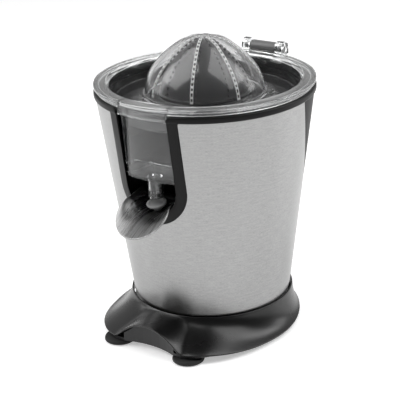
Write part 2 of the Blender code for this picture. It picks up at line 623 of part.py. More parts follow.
def make_spring():
    """The coil that lifts the spindle after a press, between the gearbox cover and the thrust collar."""
    wire, radius, turns = 0.6 * MM, 8.6 * MM, 5
    low, high = GEARBOX_COVER_Z + COVER_T + GAP + wire, 112 * MM - GAP - wire
    curve = bpy.data.curves.new("return_spring", "CURVE")
    curve.dimensions = "3D"
    curve.bevel_depth = wire
    curve.bevel_resolution = 1
    curve.use_fill_caps = True
    steps = turns * 12
    line = curve.splines.new("POLY")
    line.points.add(steps)
    for i, point in enumerate(line.points):
        turn = math.tau * turns * i / steps
        point.co = (radius * math.cos(turn), radius * math.sin(turn), low + (high - low) * i / steps, 1)
    spring = bpy.data.objects.new("return_spring", curve)
    bpy.context.scene.collection.objects.link(spring)
    spring.parent = FRAME
    curve.materials.append(POLISHED)


def make_gears():
    toward_mid = math.atan2(MID_Y, MID_X)
    step = math.tau / MID_SMALL_TEETH
    phase = output_phase(toward_mid) + step / 2
    mid = gear("mid_gear", MID_LARGE_TEETH, 0, 67 * MM, 75 * MM, 2.1 * MM, (MID_X, MID_Y), NYLON)
    small = prism(gear_outline(MID_SMALL_TEETH, phase), 74 * MM, 95.2 * MM)
    small.transform(Matrix.Translation((MID_X, MID_Y, 0)))
    carve(mid, small, "UNION")
    carve(mid, tube(2.1 * MM, 0, 60 * MM, 98 * MM, 16, "Z", (MID_X, MID_Y, 0)))
    add("mid_axle", tube(2 * MM, 0, GEARBOX_FLOOR_Z + 0.5 * MM, GEARBOX_COVER_Z + 1 * MM, 16, "Z", (MID_X, MID_Y, 0)), POLISHED)
    x, y = motor_place()
    # the middle gear's tooth at angle 0 points at the motor, so the pinion shows it a gap there
    gear("motor_pinion", MOTOR_TEETH, math.pi + math.pi / MOTOR_TEETH, 66 * MM, 76.5 * MM, 2.75 * MM, (x, y), BRASS)


def output_phase(toward):
    """Phase, at the middle gear, that faces the output gear's tooth pattern along the line of centres."""
    step = math.tau / OUTPUT_TEETH
    tooth = toward / step
    offset = (tooth - round(tooth)) * step  # how far the line of centres is past the nearest tooth
    return toward + math.pi + offset * OUTPUT_TEETH / MID_SMALL_TEETH


def make_gearbox():
    floor_z, cover_z = GEARBOX_FLOOR_Z, GEARBOX_COVER_Z
    x, y = motor_place()
    floor = add("gearbox_floor", tube(58 * MM, 8.4 * MM, floor_z, floor_z + 3 * MM, ROUND), GREY_PLASTIC)
    carve(floor, tube(8.5 * MM, 0, 50 * MM, 70 * MM, 16, "Z", (x, y, 0)))
    carve(floor, tube(2.1 * MM, 0, 50 * MM, 70 * MM, 12, "Z", (MID_X, MID_Y, 0)))
    cover = add("gearbox_cover", tube(52 * MM, 5.6 * MM, cover_z, cover_z + COVER_T, ROUND), GREY_PLASTIC)
    carve(cover, tube(2.1 * MM, 0, 90 * MM, 105 * MM, 12, "Z", (MID_X, MID_Y, 0)))
    add("lower_bush", tube(8.3 * MM, SPINDLE_R + 0.08 * MM, floor_z, floor_z + 7 * MM), BRASS)
    for i, deg in enumerate((-75, 20, 195)):
        a = math.radians(deg)
        place = (47 * MM * math.cos(a), 47 * MM * math.sin(a), 0)
        post = tube(3.5 * MM, 0, floor_z + 3 * MM + GAP, cover_z - GAP, 12, "Z", place)
        add(f"gearbox_post_{i + 1}", post, STEEL)
    for i in range(4):
        a = math.radians(45 + 90 * i)
        place = (53 * MM * math.cos(a), 53 * MM * math.sin(a), 0)
        leg = tube(4 * MM, 1.6 * MM, PLATE_Z[1] + GAP, floor_z - GAP, 12, "Z", place)
        add(f"chassis_leg_{i + 1}", leg, GREY_PLASTIC)
        screw = ((0, 4.3), (3, 4.3), (3, 5.7), (1.4, 6.2), (1.4, 20), (0, 20))
        add(f"base_screw_{i + 1}", lathe([(r * MM, z * MM) for r, z in screw], 12, "Z", place), STEEL)
        carve(bpy.data.objects["base_plate"], tube(3.4 * MM, 0, 0, 10 * MM, 12, "Z", place))


def make_motor():
    x, y = motor_place()
    centre = (x, y, 0)
    can = ((6, 16), (27, 16), (27, 57.7), (6, 57.7), (6, 55.7), (25, 55.7), (25, 18), (6, 18))
    add("motor_can", lathe([(r * MM, z * MM) for r, z in can], 32, "Z", centre), STEEL)
    windings = ((19.6, 24), (24.7, 24), (24.7, 50), (19.6, 50))
    add("field_winding", lathe([(r * MM, z * MM) for r, z in windings], 24, "Z", centre), BRASS)
    add("rotor_core", tube(18.6 * MM, 2.6 * MM, 26 * MM, 48 * MM, 24, "Z", centre), STEEL)
    add("motor_shaft", tube(2.5 * MM, 0, 9 * MM, 79 * MM, 12, "Z", centre), POLISHED)
    fan = add("cooling_fan", tube(5 * MM, 2.6 * MM, 9.5 * MM, 15 * MM, 16, "Z", centre), GREY_PLASTIC)
    for i in range(6):
        blade = block((4 * MM, 18 * MM), (-0.6 * MM, 0.6 * MM), (9.9 * MM, 14.6 * MM))
        blade.transform(Matrix.Translation(centre) @ Matrix.Rotation(math.tau * i / 6, 4, "Z"))
        carve(fan, blade, "UNION")


def make_switch():
    x, low = 24 * MM, GEARBOX_COVER_Z + COVER_T + GAP
    switch = add("microswitch", block((x - 5 * MM, x + 5 * MM), (-9 * MM, 9 * MM), (low, low + 7 * MM)), BLACK_SATIN)
    carve(switch, tube(1.9 * MM, 0, low + 2 * MM, low + 10 * MM, 12, "Z", (x, 0, 0)))
    add("switch_button", tube(1.5 * MM, 0, low + 5.6 * MM, 111.6 * MM, 12, "Z", (x, 0, 0)), NYLON)


clear_scene()
FRAME = bpy.data.objects.new("spindle_frame", None)
bpy.context.scene.collection.objects.link(FRAME)
FRAME.location = (0, SPINDLE_Y, 0)

STEEL = material("brushed_steel", (0.62, 0.62, 0.61), 0.32, 1.0)
POLISHED = material("polished_steel", (0.75, 0.75, 0.76), 0.12, 1.0)
BLACK_GLOSS = material("black_gloss_plastic", (0.012, 0.012, 0.013), 0.22)
BLACK_SATIN = material("black_satin_plastic", (0.02, 0.02, 0.021), 0.42)
GREY_PLASTIC = material("dark_grey_plastic", (0.055, 0.055, 0.058), 0.5)
CHARCOAL = material("charcoal_plastic", (0.065, 0.065, 0.066), 0.35)
CLEAR = material("clear_plastic", (0.9, 0.92, 0.93), 0.05, 0.0, 0.3)
SMOKE = material("smoke_plastic", (0.25, 0.25, 0.26), 0.15, 0.0, 0.6)
SILICONE = material("grey_silicone", (0.42, 0.42, 0.42), 0.6)
RUBBER = material("black_rubber", (0.015, 0.015, 0.015), 0.8)
NYLON = material("white_nylon", (0.8, 0.79, 0.74), 0.45)
BRASS = material("sintered_brass", (0.7, 0.5, 0.25), 0.35, 1.0)

make_base()
make_body()
make_inner_cup()
make_spout_pocket()
make_spout()
make_collector()
make_strainer()
make_cones()
make_spindle()
make_gears()
make_gearbox()
make_motor()
make_switch()
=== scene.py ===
# %% [markdown]
# # A citrus press, piece by piece
#
# The machine has a tapered steel body on a flared black base. A clear bowl drops into the top, with a
# strainer and a ribbed reamer in it, and the juice runs out through a tipping steel spout at the front. The
# solid model is already packed, so this lesson only makes the parts that show, at a finer grain, and gives
# each one a finish.
#
# Everything is in metres. The solid model says where things go, and each new piece is laid over the solid
# it stands for.

import math

import bmesh
import bpy
from mathutils import Matrix, Vector


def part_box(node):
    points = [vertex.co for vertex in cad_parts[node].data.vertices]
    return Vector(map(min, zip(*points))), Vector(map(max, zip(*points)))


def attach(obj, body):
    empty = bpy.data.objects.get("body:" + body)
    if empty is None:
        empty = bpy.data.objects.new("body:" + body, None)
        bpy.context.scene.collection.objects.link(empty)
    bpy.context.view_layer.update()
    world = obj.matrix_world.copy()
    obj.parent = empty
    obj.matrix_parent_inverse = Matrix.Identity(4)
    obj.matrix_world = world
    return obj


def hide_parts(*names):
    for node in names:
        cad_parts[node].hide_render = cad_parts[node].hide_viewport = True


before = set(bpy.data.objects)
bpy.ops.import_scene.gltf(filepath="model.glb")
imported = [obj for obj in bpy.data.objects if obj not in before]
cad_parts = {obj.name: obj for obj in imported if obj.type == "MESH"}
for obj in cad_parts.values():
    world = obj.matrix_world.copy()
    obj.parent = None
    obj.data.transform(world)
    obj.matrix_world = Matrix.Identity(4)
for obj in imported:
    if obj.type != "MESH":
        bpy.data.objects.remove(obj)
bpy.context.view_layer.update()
MM = 0.001
low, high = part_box("spindle_shaft")
AXIS_Y = (low[1] + high[1]) / 2
print("the spindle stands at y =", round(AXIS_Y / MM, 2), "mm")

# %% [markdown]
# ## Working as by hand, from a script
#
# Blender's operators act on whatever is active and selected, so a script has to say what that is each time.
# These small helpers deselect everything, open a piece in edit mode, and pick vertices by where they lie.
# All pieces are built round the world's Z axis, as on a turntable, and moved to the spindle at the very
# end, when the place is applied.


# %% Helpers for selecting and editing
def deselect():
    if bpy.context.object and bpy.context.object.mode != "OBJECT":
        bpy.ops.object.mode_set(mode="OBJECT")
    bpy.ops.object.select_all(action="DESELECT")


def choose(obj):
    deselect()
    obj.select_set(True)
    bpy.context.view_layer.objects.active = obj


def apply_place(obj):
    """Puts the object's place, turn and scale into its mesh."""
    choose(obj)
    bpy.ops.object.transform_apply(location=True, rotation=True, scale=True)
    return obj


def edit(obj):
    choose(obj)
    bpy.ops.object.mode_set(mode="EDIT")
    bpy.ops.mesh.select_mode(type="VERT")


def pick(obj, test, what="VERT"):
    """In edit mode, selects the vertices, edges or faces whose middle passes the test."""
    bpy.ops.mesh.select_mode(type=what)
    bpy.ops.mesh.select_all(action="DESELECT")
    bm = bmesh.from_edit_mesh(obj.data)
    if what == "VERT":
        for v in bm.verts:
            v.select_set(bool(test(v.co)))
    elif what == "EDGE":
        for e in bm.edges:
            e.select_set(bool(test((e.verts[0].co + e.verts[1].co) / 2)))
    else:
        for f in bm.faces:
            f.select_set(bool(test(f.calc_center_median())))
    bm.select_flush_mode()
    bmesh.update_edit_mesh(obj.data)


def named(name):
    obj = bpy.context.object
    obj.name = name
    obj.data.name = name
    return obj


def modify(obj, kind, **settings):
    """Adds a modifier, sets it, and applies it at once."""
    choose(obj)
    modifier = obj.modifiers.new(kind.title(), kind)
    for key, value in settings.items():
        setattr(modifier, key, value)
    bpy.ops.object.modifier_apply(modifier=modifier.name)
    return obj


def bevel_edges(obj, width, segments, sharper_than_deg):
    """Rounds every edge that turns by more than an angle."""
    angle = math.radians(sharper_than_deg)
    modify(obj, "BEVEL", width=width * MM, segments=segments, limit_method="ANGLE", angle_limit=angle)


def cut(obj, tool, operation="DIFFERENCE"):
    """A Boolean with another piece, which is used up."""
    modify(obj, "BOOLEAN", operation=operation, solver="EXACT", object=tool)
    bpy.data.objects.remove(tool)
    return obj


def tidy_mesh(obj):
    """Merges doubles and turns all faces outwards."""
    edit(obj)
    bpy.ops.mesh.select_all(action="SELECT")
    bpy.ops.mesh.remove_doubles(threshold=0.004 * MM)
    bpy.ops.mesh.normals_make_consistent(inside=False)
    deselect()
    return obj


# %% [markdown]
# ## Round pieces are turned, as on a lathe
#
# Most of the machine is round. A turned piece starts as a plane merged to a single point. The point is
# extruded from corner to corner to draw half of the section, and Spin sweeps that section round the axis.
# Sharp corners never look real, because every moulded or pressed edge catches a thin line of light, so the
# section is first given small fillets.


# %% A section with filleted corners, and the lathe
def filleted(section, radius, steps=3):
    """The same closed section with each corner cut back and rounded. Points are in millimetres."""
    points = [Vector(p) for p in section]
    made = []
    for i, corner in enumerate(points):
        a, b = points[i - 1] - corner, points[(i + 1) % len(points)] - corner
        reach = min(radius, a.length * 0.45, b.length * 0.45)
        if reach < 0.05 or abs(corner.x) < 0.01 or a.normalized().dot(b.normalized()) < -0.97:
            made.append(corner)
            continue
        start, end = corner + a.normalized() * reach, corner + b.normalized() * reach
        for k in range(steps + 1):
            t = k / steps
            made.append(start * (1 - t) ** 2 + corner * 2 * t * (1 - t) + end * t * t)
    return made


def turned(name, section, steps=144, fillet=0.4, closed=True):
    """Spins a section of (radius, height) points, in millimetres, round the Z axis."""
    points = [Vector((p[0], 0, p[1])) * MM for p in (filleted(section, fillet) if fillet else section)]
    deselect()
    bpy.ops.mesh.primitive_plane_add(size=1 * MM)
    obj = named(name)
    edit(obj)
    bpy.ops.mesh.select_all(action="SELECT")
    bpy.ops.mesh.merge(type="CENTER")
    bpy.ops.transform.translate(value=points[0])
    for a, b in zip(points, points[1:]):
        bpy.ops.mesh.extrude_vertices_move(TRANSFORM_OT_translate={"value": b - a})
    if closed:
        ends = (points[0], points[-1])
        pick(obj, lambda co: min((co - e).length for e in ends) < 0.001 * MM)
        bpy.ops.mesh.edge_face_add()
    bpy.ops.mesh.select_all(action="SELECT")
    bpy.ops.mesh.spin(steps=steps, angle=math.tau, center=(0, 0, 0), axis=(0, 0, 1))
    bpy.ops.mesh.select_all(action="SELECT")
    bpy.ops.mesh.remove_doubles(threshold=0.002 * MM)
    bpy.ops.mesh.normals_make_consistent(inside=False)
    deselect()
    return obj


def laid_along(obj, axis, centre):
    """Turns a piece made round Z so that its axis lies along X or Y, and moves it to its centre."""
    turn = Matrix.Rotation(math.pi / 2, 4, "Y") if axis == "X" else Matrix.Rotation(-math.pi / 2, 4, "X")
    obj.matrix_world = Matrix.Translation(Vector(centre) * MM) @ turn @ obj.matrix_world
    return apply_place(obj)


def slab(name, x, y, z):
    """A box between two limits on each axis, in millimetres."""
    deselect()
    centre = [(a + b) / 2 * MM for a, b in (x, y, z)]
    bpy.ops.mesh.primitive_cube_add(size=1, location=centre)
    obj = named(name)
    obj.scale = [(b - a) * MM for a, b in (x, y, z)]
    return apply_place(obj)


def cylinder(name, radius, length, centre, sides=48, along_y=False):
    """A cylinder by its radius, length and centre, in millimetres, standing up or lying along Y."""
    deselect()
    bpy.ops.mesh.primitive_cylinder_add(
        vertices=sides,
        radius=radius * MM,
        depth=length * MM,
        location=[c * MM for c in centre],
        rotation=(math.pi / 2 if along_y else 0, 0, 0),
    )
    return apply_place(named(name))


# %% [markdown]
# ## Effects that several finishes share
#
# Real surfaces vary a little everywhere. Three effects turn up in more than one finish, so each is a node
# group: brush marks that run round the body, the fine pebble of moulded plastic, and the faint smears of
# handled plastic. A group only hands out numbers and colours. The shader itself stays in each material.


# %% Node groups
def group(name, inputs, outputs):
    made = bpy.data.node_groups.new(name, "ShaderNodeTree")
    for label, kind, value in inputs:
        socket = made.interface.new_socket(label, in_out="INPUT", socket_type=kind)
        if value is not None:
            socket.default_value = value
    for label, kind in outputs:
        made.interface.new_socket(label, in_out="OUTPUT", socket_type=kind)
    return made, made.nodes.new("NodeGroupInput"), made.nodes.new("NodeGroupOutput")


def node(tree, kind, **settings):
    made = tree.nodes.new(kind)
    for key, value in settings.items():
        if key in made.inputs:
            made.inputs[key].default_value = value
        else:
            setattr(made, key, value)
    return made


def maths(tree, operation, a, b=None):
    """A Math node. a and b are sockets or numbers."""
    made = tree.nodes.new("ShaderNodeMath")
    made.operation = operation
    for socket, value in zip(made.inputs, (a, b)):
        if value is None:
            continue
        if isinstance(value, (int, float)):
            socket.default_value = value
        else:
            tree.links.new(value, socket)
    return made.outputs[0]


NUMBER, VECTOR = "NodeSocketFloat", "NodeSocketVector"


def make_brush_marks():
    """Hairlines that run round the Z axis: rapid change with height, slow change with the angle."""
    inputs = (("Vector", VECTOR, None), ("Lines per metre", NUMBER, 2200.0), ("Length", NUMBER, 14.0))
    tree, given, out = group("brush marks", inputs, (("Height", NUMBER), ("Streak", NUMBER)))
    parts = node(tree, "ShaderNodeSeparateXYZ")
    tree.links.new(given.outputs["Vector"], parts.inputs[0])
    angle = maths(tree, "ARCTAN2", parts.outputs["Y"], parts.outputs["X"])
    along = maths(tree, "MULTIPLY", angle, given.outputs["Length"])
    across = maths(tree, "MULTIPLY", parts.outputs["Z"], given.outputs["Lines per metre"])
    joined = node(tree, "ShaderNodeCombineXYZ")
    tree.links.new(along, joined.inputs["X"])
    tree.links.new(across, joined.inputs["Z"])
    fine = node(tree, "ShaderNodeTexNoise", Scale=1.0, Detail=3.0, Roughness=0.6)
    tree.links.new(joined.outputs[0], fine.inputs["Vector"])
    wide = node(tree, "ShaderNodeTexNoise", Scale=0.22, Detail=2.0, Roughness=0.5)
    tree.links.new(joined.outputs[0], wide.inputs["Vector"])
    fine_share = maths(tree, "MULTIPLY", fine.outputs["Fac"], 0.7)
    wide_share = maths(tree, "MULTIPLY", wide.outputs["Fac"], 0.3)
    both = maths(tree, "ADD", fine_share, wide_share)
    tree.links.new(fine.outputs["Fac"], out.inputs["Height"])
    tree.links.new(both, out.inputs["Streak"])
    return tree


def make_pebble():
    """The fine texture of a moulded surface, and a slow change in how shiny it is."""
    inputs = (("Vector", VECTOR, None), ("Grain", NUMBER, 1800.0), ("Patch", NUMBER, 18.0))
    tree, given, out = group("moulded grain", inputs, (("Height", NUMBER), ("Patches", NUMBER)))
    grain = node(tree, "ShaderNodeTexVoronoi", feature="SMOOTH_F1")
    tree.links.new(given.outputs["Vector"], grain.inputs["Vector"])
    tree.links.new(given.outputs["Grain"], grain.inputs["Scale"])
    patch = node(tree, "ShaderNodeTexNoise", Detail=4.0, Roughness=0.55)
    tree.links.new(given.outputs["Vector"], patch.inputs["Vector"])
    tree.links.new(given.outputs["Patch"], patch.inputs["Scale"])
    tree.links.new(grain.outputs["Distance"], out.inputs["Height"])
    tree.links.new(patch.outputs["Fac"], out.inputs["Patches"])
    return tree


def make_smears():
    """Faint wiping marks: noise that is stretched one way and broken up by larger noise."""
    inputs = (("Vector", VECTOR, None), ("Scale", NUMBER, 45.0))
    tree, given, out = group("wiped smears", inputs, (("Mask", NUMBER), ("Height", NUMBER)))
    stretch = node(tree, "ShaderNodeMapping", Scale=(1.0, 3.5, 0.7), Rotation=(0.3, 0.2, 0.6))
    tree.links.new(given.outputs["Vector"], stretch.inputs["Vector"])
    fine = node(tree, "ShaderNodeTexNoise", Detail=5.0, Roughness=0.65, Distortion=0.4)
    tree.links.new(stretch.outputs[0], fine.inputs["Vector"])
    tree.links.new(given.outputs["Scale"], fine.inputs["Scale"])
    large = node(tree, "ShaderNodeTexNoise", Scale=14.0, Detail=2.0)
    tree.links.new(given.outputs["Vector"], large.inputs["Vector"])
    mask = maths(tree, "MULTIPLY", fine.outputs["Fac"], large.outputs["Fac"])
    tree.links.new(mask, out.inputs["Mask"])
    tree.links.new(large.outputs["Fac"], out.inputs["Height"])
    return tree


BRUSH_MARKS, PEBBLE, SMEARS = make_brush_marks(), make_pebble(), make_smears()
print("node groups:", [g.name for g in (BRUSH_MARKS, PEBBLE, SMEARS)])


# %% What every material starts from
def start_material(name, **constants):
    """A Principled material with its plain values set, and coordinates centred on the spindle."""
    made = bpy.data.materials.new(name)
    made.use_nodes = True
    tree = made.node_tree
    shader = tree.nodes["Principled BSDF"]
    for key, value in constants.items():
        shader.inputs[key.replace("_", " ")].default_value = value
    place = node(tree, "ShaderNodeTexCoord")
    centre = node(tree, "ShaderNodeMapping", Location=(0, -AXIS_Y, 0))
    tree.links.new(place.outputs["Object"], centre.inputs["Vector"])
    return made, tree, shader, centre.outputs[0]


def use_group(tree, shared, vector, **values):
    made = tree.nodes.new("ShaderNodeGroup")
    made.node_tree = shared
    tree.links.new(vector, made.inputs["Vector"])
    for key, value in values.items():
        made.inputs[key.replace("_", " ")].default_value = value
    return made


def ranged(tree, value, low, high, start=0.0, end=1.0):
    """Stretches a value that runs from start to end so that it runs from low to high."""
    made = node(tree, "ShaderNodeMapRange")
    for label, number in (("From Min", start), ("From Max", end), ("To Min", low), ("To Max", high)):
        made.inputs[label].default_value = number
    tree.links.new(value, made.inputs["Value"])
    return made.outputs["Result"]


def blend_colours(tree, factor, dark, light, shader):
    made = node(tree, "ShaderNodeMix", data_type="RGBA")
    made.inputs["A"].default_value = (*dark, 1)
    made.inputs["B"].default_value = (*light, 1)
    tree.links.new(factor, made.inputs["Factor"])
    tree.links.new(made.outputs["Result"], shader.inputs["Base Color"])


def bump(tree, shader, height, strength, distance):
    made = node(tree, "ShaderNodeBump", Strength=strength, Distance=distance)
    tree.links.new(height, made.inputs["Height"])
    tree.links.new(made.outputs["Normal"], shader.inputs["Normal"])


# %% [markdown]
# ## Metal
#
# The sleeve is rolled sheet, brushed round and round before it was rolled. Its hairlines are too fine to
# see one by one. They stretch every reflection up and down, and leave faint level streaks. The spout is the
# same steel with its marks running along it, given a darker colour that is painted shade, and the inner
# shafts are ground bright.


# %% Metals
def metal(name, dark, light, rough_low, rough_high, lines, length, relief, lengthwise=False):
    made, tree, shader, vector = start_material(name, Metallic=1.0)
    if lengthwise:  # the marks run along Y in place of round Z
        turn = node(tree, "ShaderNodeMapping", Rotation=(0, math.pi / 2, 0))
        tree.links.new(vector, turn.inputs["Vector"])
        vector = turn.outputs[0]
    marks = use_group(tree, BRUSH_MARKS, vector, Lines_per_metre=lines, Length=length)
    streak = marks.outputs["Streak"]
    blend_colours(tree, ranged(tree, streak, 0, 1, 0.3, 0.7), dark, light, shader)
    tree.links.new(ranged(tree, streak, rough_low, rough_high, 0.3, 0.7), shader.inputs["Roughness"])
    bump(tree, shader, marks.outputs["Height"], relief, 0.05 * MM)
    return made


BRUSHED_STEEL = metal("brushed_steel", (0.25, 0.25, 0.25), (0.41, 0.41, 0.408), 0.28, 0.38, 3400, 40, 0.3)
# The spout's steel has a darker colour than the sleeve's, which is painted shade.
SHADED_SPOUT_STEEL = metal(
    "pressed_steel_painted_shade", (0.1, 0.1, 0.1), (0.3, 0.3, 0.3), 0.22, 0.34, 500, 4, 0.1, lengthwise=True
)
POLISHED_STEEL = metal("polished_steel", (0.45, 0.45, 0.45), (0.53, 0.53, 0.53), 0.18, 0.26, 900, 3, 0.04)
PLAIN_STEEL = metal("zinc_plated_steel", (0.45, 0.46, 0.47), (0.58, 0.59, 0.60), 0.30, 0.45, 1200, 5, 0.15)
BRASS = metal("sintered_brass", (0.42, 0.29, 0.12), (0.58, 0.42, 0.20), 0.35, 0.5, 700, 5, 0.2)
COPPER = metal("enamelled_copper", (0.34, 0.12, 0.05), (0.50, 0.20, 0.08), 0.25, 0.4, 2400, 1, 0.6)

# %% [markdown]
# ## Moulded plastic and rubber
#
# The base is polished black plastic, the ring and frame are satin, and the floor plate and feet are dull.
# They differ in how rough they are and how coarse their grain is, so one recipe with different numbers
# makes them all.


# %% Plastics and rubber
def plastic(name, dark, light, rough_low, rough_high, grain, relief, **constants):
    made, tree, shader, vector = start_material(name, **constants)
    marks = use_group(tree, PEBBLE, vector, Grain=grain)
    patches = marks.outputs["Patches"]
    blend_colours(tree, ranged(tree, patches, 0, 1, 0.3, 0.7), dark, light, shader)
    tree.links.new(ranged(tree, patches, rough_low, rough_high, 0.3, 0.7), shader.inputs["Roughness"])
    bump(tree, shader, marks.outputs["Height"], relief, 0.06 * MM)
    return made


GLOSS_BLACK = plastic(
    "gloss_black_plastic", (0.0016, 0.0016, 0.0017), (0.0026, 0.0026, 0.0027), 0.24, 0.30, 1500, 0.05
)
SATIN_BLACK = plastic(
    "satin_black_plastic", (0.002, 0.002, 0.0021), (0.004, 0.004, 0.0041), 0.38, 0.48, 2200, 0.12,
    Specular_IOR_Level=0.2,
)
DARK_GREY = plastic(
    "dark_grey_plastic", (0.016, 0.016, 0.0165), (0.022, 0.022, 0.0225), 0.45, 0.58, 1600, 0.2
)
CHARCOAL = plastic("charcoal_plastic", (0.052, 0.052, 0.053), (0.062, 0.062, 0.063), 0.32, 0.40, 2400, 0.08)
MID_GREY = plastic("mid_grey_plastic", (0.10, 0.10, 0.10), (0.14, 0.14, 0.14), 0.32, 0.42, 1600, 0.15)
RUBBER = plastic("black_rubber", (0.010, 0.010, 0.010), (0.016, 0.016, 0.016), 0.70, 0.85, 900, 0.4)
SILICONE = plastic("grey_silicone", (0.22, 0.22, 0.22), (0.27, 0.27, 0.27), 0.50, 0.62, 1200, 0.2)
NYLON = plastic("white_nylon", (0.60, 0.59, 0.55), (0.68, 0.67, 0.63), 0.40, 0.52, 1500, 0.15)

# %% [markdown]
# ## Clear plastic
#
# The bowl and the large cone are clear, hard plastic. What shows is mostly what lies behind them, bent at
# every curved edge, with bright lines where the edges catch the lamps. Nearly full transmission and an
# index of refraction under the plastic's own give that, and the small rest is a white veil. The ribs are
# frosted, and the strainer is smoked. Handling leaves faint smears, which only change how sharp the
# reflections are.


# %% Clear and smoked plastic
def clear(name, colour, rough_low, rough_high, **constants):
    made, tree, shader, vector = start_material(name, **constants)
    shader.inputs["Base Color"].default_value = (*colour, 1)
    marks = use_group(tree, SMEARS, vector)
    roughness = ranged(tree, marks.outputs["Mask"], rough_low, rough_high, 0.15, 0.4)
    tree.links.new(roughness, shader.inputs["Roughness"])
    bump(tree, shader, marks.outputs["Height"], 0.05, 0.2 * MM)
    return made


CLEAR = clear("clear_plastic", (0.93, 0.94, 0.94), 0.015, 0.06, IOR=1.42, Transmission_Weight=0.985)
CLEAR_CONE = clear(
    "clear_cone_plastic", (0.90, 0.90, 0.905), 0.02, 0.07, IOR=1.36, Transmission_Weight=0.98,
    Specular_IOR_Level=0.2,
)
FROSTED = clear("frosted_plastic", (0.93, 0.93, 0.93), 0.25, 0.4, IOR=1.4, Transmission_Weight=0.45)
SMOKED = clear("smoked_plastic", (0.30, 0.30, 0.305), 0.10, 0.2, IOR=1.4, Transmission_Weight=0.85)
print("materials:", len(bpy.data.materials))


# %% [markdown]
# ## Finishing a piece
#
# A finished piece is moved to the spindle, has its place applied so that its object sits at the origin,
# gets smooth shading with crisp creases, a finish and a body to ride on, and hides the solid of the model
# that it stands for.


# %% One call that finishes a piece
def finished(obj, body, material, slot, *stands_for, angle=30):
    obj.location.y += AXIS_Y
    apply_place(obj)
    bpy.ops.object.shade_smooth_by_angle(angle=math.radians(angle))
    obj.data.materials.clear()
    obj.data.materials.append(material)
    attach(obj, body)
    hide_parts(*stands_for)
    print(f"{obj.name}: {len(obj.data.polygons)} faces")
    return obj


# %% [markdown]
# ## The camera
#
# A long lens from about a metre away, 35 degrees round to the right and 21 degrees up, shows the front, the
# right side and the inside of the bowl together. Its axes are worked out from those angles, with the slight
# roll that makes the right side sit a touch higher.


# %% Camera
TURN_DEG, LIFT_DEG, ROLL_DEG = 35.3, 20.62, 2.216
DISTANCE, AIM_HEIGHT = 0.999, 0.120
AIM_RIGHT, AIM_UP = -0.00635, -0.02322  # how far the lens points off the spindle, per metre of distance


def add_camera():
    turn, lift, roll = math.radians(TURN_DEG), math.radians(LIFT_DEG), math.radians(ROLL_DEG)
    back = Vector((math.sin(turn) * math.cos(lift), -math.cos(turn) * math.cos(lift), math.sin(lift)))
    place = Vector((0, AXIS_Y, AIM_HEIGHT)) + back * DISTANCE
    right = Vector((math.cos(turn), math.sin(turn), 0))
    up = back.cross(right)
    right, up = right * math.cos(roll) - up * math.sin(roll), right * math.sin(roll) + up * math.cos(roll)
    aim = (right * AIM_RIGHT + up * AIM_UP - back).normalized()
    right = (right - aim * right.dot(aim)).normalized()
    up = right.cross(aim)
    data = bpy.data.cameras.new("camera")
    data.lens = 114.6
    data.sensor_width = 36
    camera = bpy.data.objects.new("camera", data)
    bpy.context.scene.collection.objects.link(camera)
    axes = Matrix((right, up, -aim)).transposed().to_4x4()
    camera.matrix_world = Matrix.Translation(place) @ axes
    bpy.context.scene.camera = camera
    return camera


camera = add_camera()
print("camera at", [round(c, 3) for c in camera.location])

# %% [markdown]
# ## The steel sleeve
#
# A cone of sheet steel, open at the back where a black panel fills the gap, with a U-shaped slot cut in the
# front. A cone primitive has the right taper already. Bisect trims it along the slanted back edge, a
# U-shaped tool cuts the slot, and Solidify gives it its thickness.

# %% The cone and its slanted back edge
BODY_LOW, BODY_TOP = (62.8, 25.5), (83.8, 186.3)  # radius and height
SLEEVE_FOOT_Z = 19
BACK_EDGE_Y, BACK_EDGE_Z, BACK_EDGE_SLOPE = 8, 188, 0.33  # a point on the slanted edge, and how it leans
FRONT_Y = -75
SLOT_CENTRE, SLOT_OUTER, SLOT_INNER = 131.6, 30, 22.5  # height of the U's centre, and the frame's half widths
RING_LOW, RING_TOP = 186.6, 191.5


def body_r(z):
    """Outer radius of the tapered body at a height, in millimetres."""
    return BODY_LOW[0] + (z - BODY_LOW[1]) * (BODY_TOP[0] - BODY_LOW[0]) / (BODY_TOP[1] - BODY_LOW[1])


def cone_wall(name, low, high, offset=0.0, sides=224):
    """An open cone that follows the body, offset outwards."""
    deselect()
    bpy.ops.mesh.primitive_cone_add(
        vertices=sides,
        radius1=(body_r(low) + offset) * MM,
        radius2=(body_r(high) + offset) * MM,
        depth=(high - low) * MM,
        location=(0, 0, (low + high) / 2 * MM),
        end_fill_type="NOTHING",
    )
    return apply_place(named(name))


def trim_back(obj, keep_front, gap=0.3):
    """Bisects along the slanted edge between the sleeve and the rear panel."""
    side = -gap if keep_front else gap
    edit(obj)
    bpy.ops.mesh.select_all(action="SELECT")
    bpy.ops.mesh.bisect(
        plane_co=(0, (BACK_EDGE_Y + side) * MM, BACK_EDGE_Z * MM),
        plane_no=(0, 1, BACK_EDGE_SLOPE),
        clear_outer=keep_front,
        clear_inner=not keep_front,
    )
    deselect()
    return obj


def u_tool(name, half, top=260):
    """A U-shaped bar along Y: a cylinder on its side, with its upper half pulled straight up."""
    obj = cylinder(name, half, 90, (0, FRONT_Y, SLOT_CENTRE), sides=96, along_y=True)
    edit(obj)
    pick(obj, lambda co: co.z > (SLOT_CENTRE + 0.01) * MM)
    bpy.ops.transform.translate(value=(0, 0, (top - SLOT_CENTRE) * MM))
    deselect()
    return obj


def flared_tool(name, half, level, corner, top=260):
    """The U-shaped bar with its sides curving outwards to meet an edge at a level."""
    tool = u_tool(name, half, top)
    for side in (-1, 1):
        a, b = sorted((side * (half - 1), side * (half + corner)))
        block = slab("block", (a, b), (-120, -30), (level - corner, top))
        centre = (side * (half + corner), FRONT_Y, level - corner)
        cut(block, cylinder("rounding", corner, 100, centre, along_y=True))
        cut(tool, block, "UNION")
    return tool


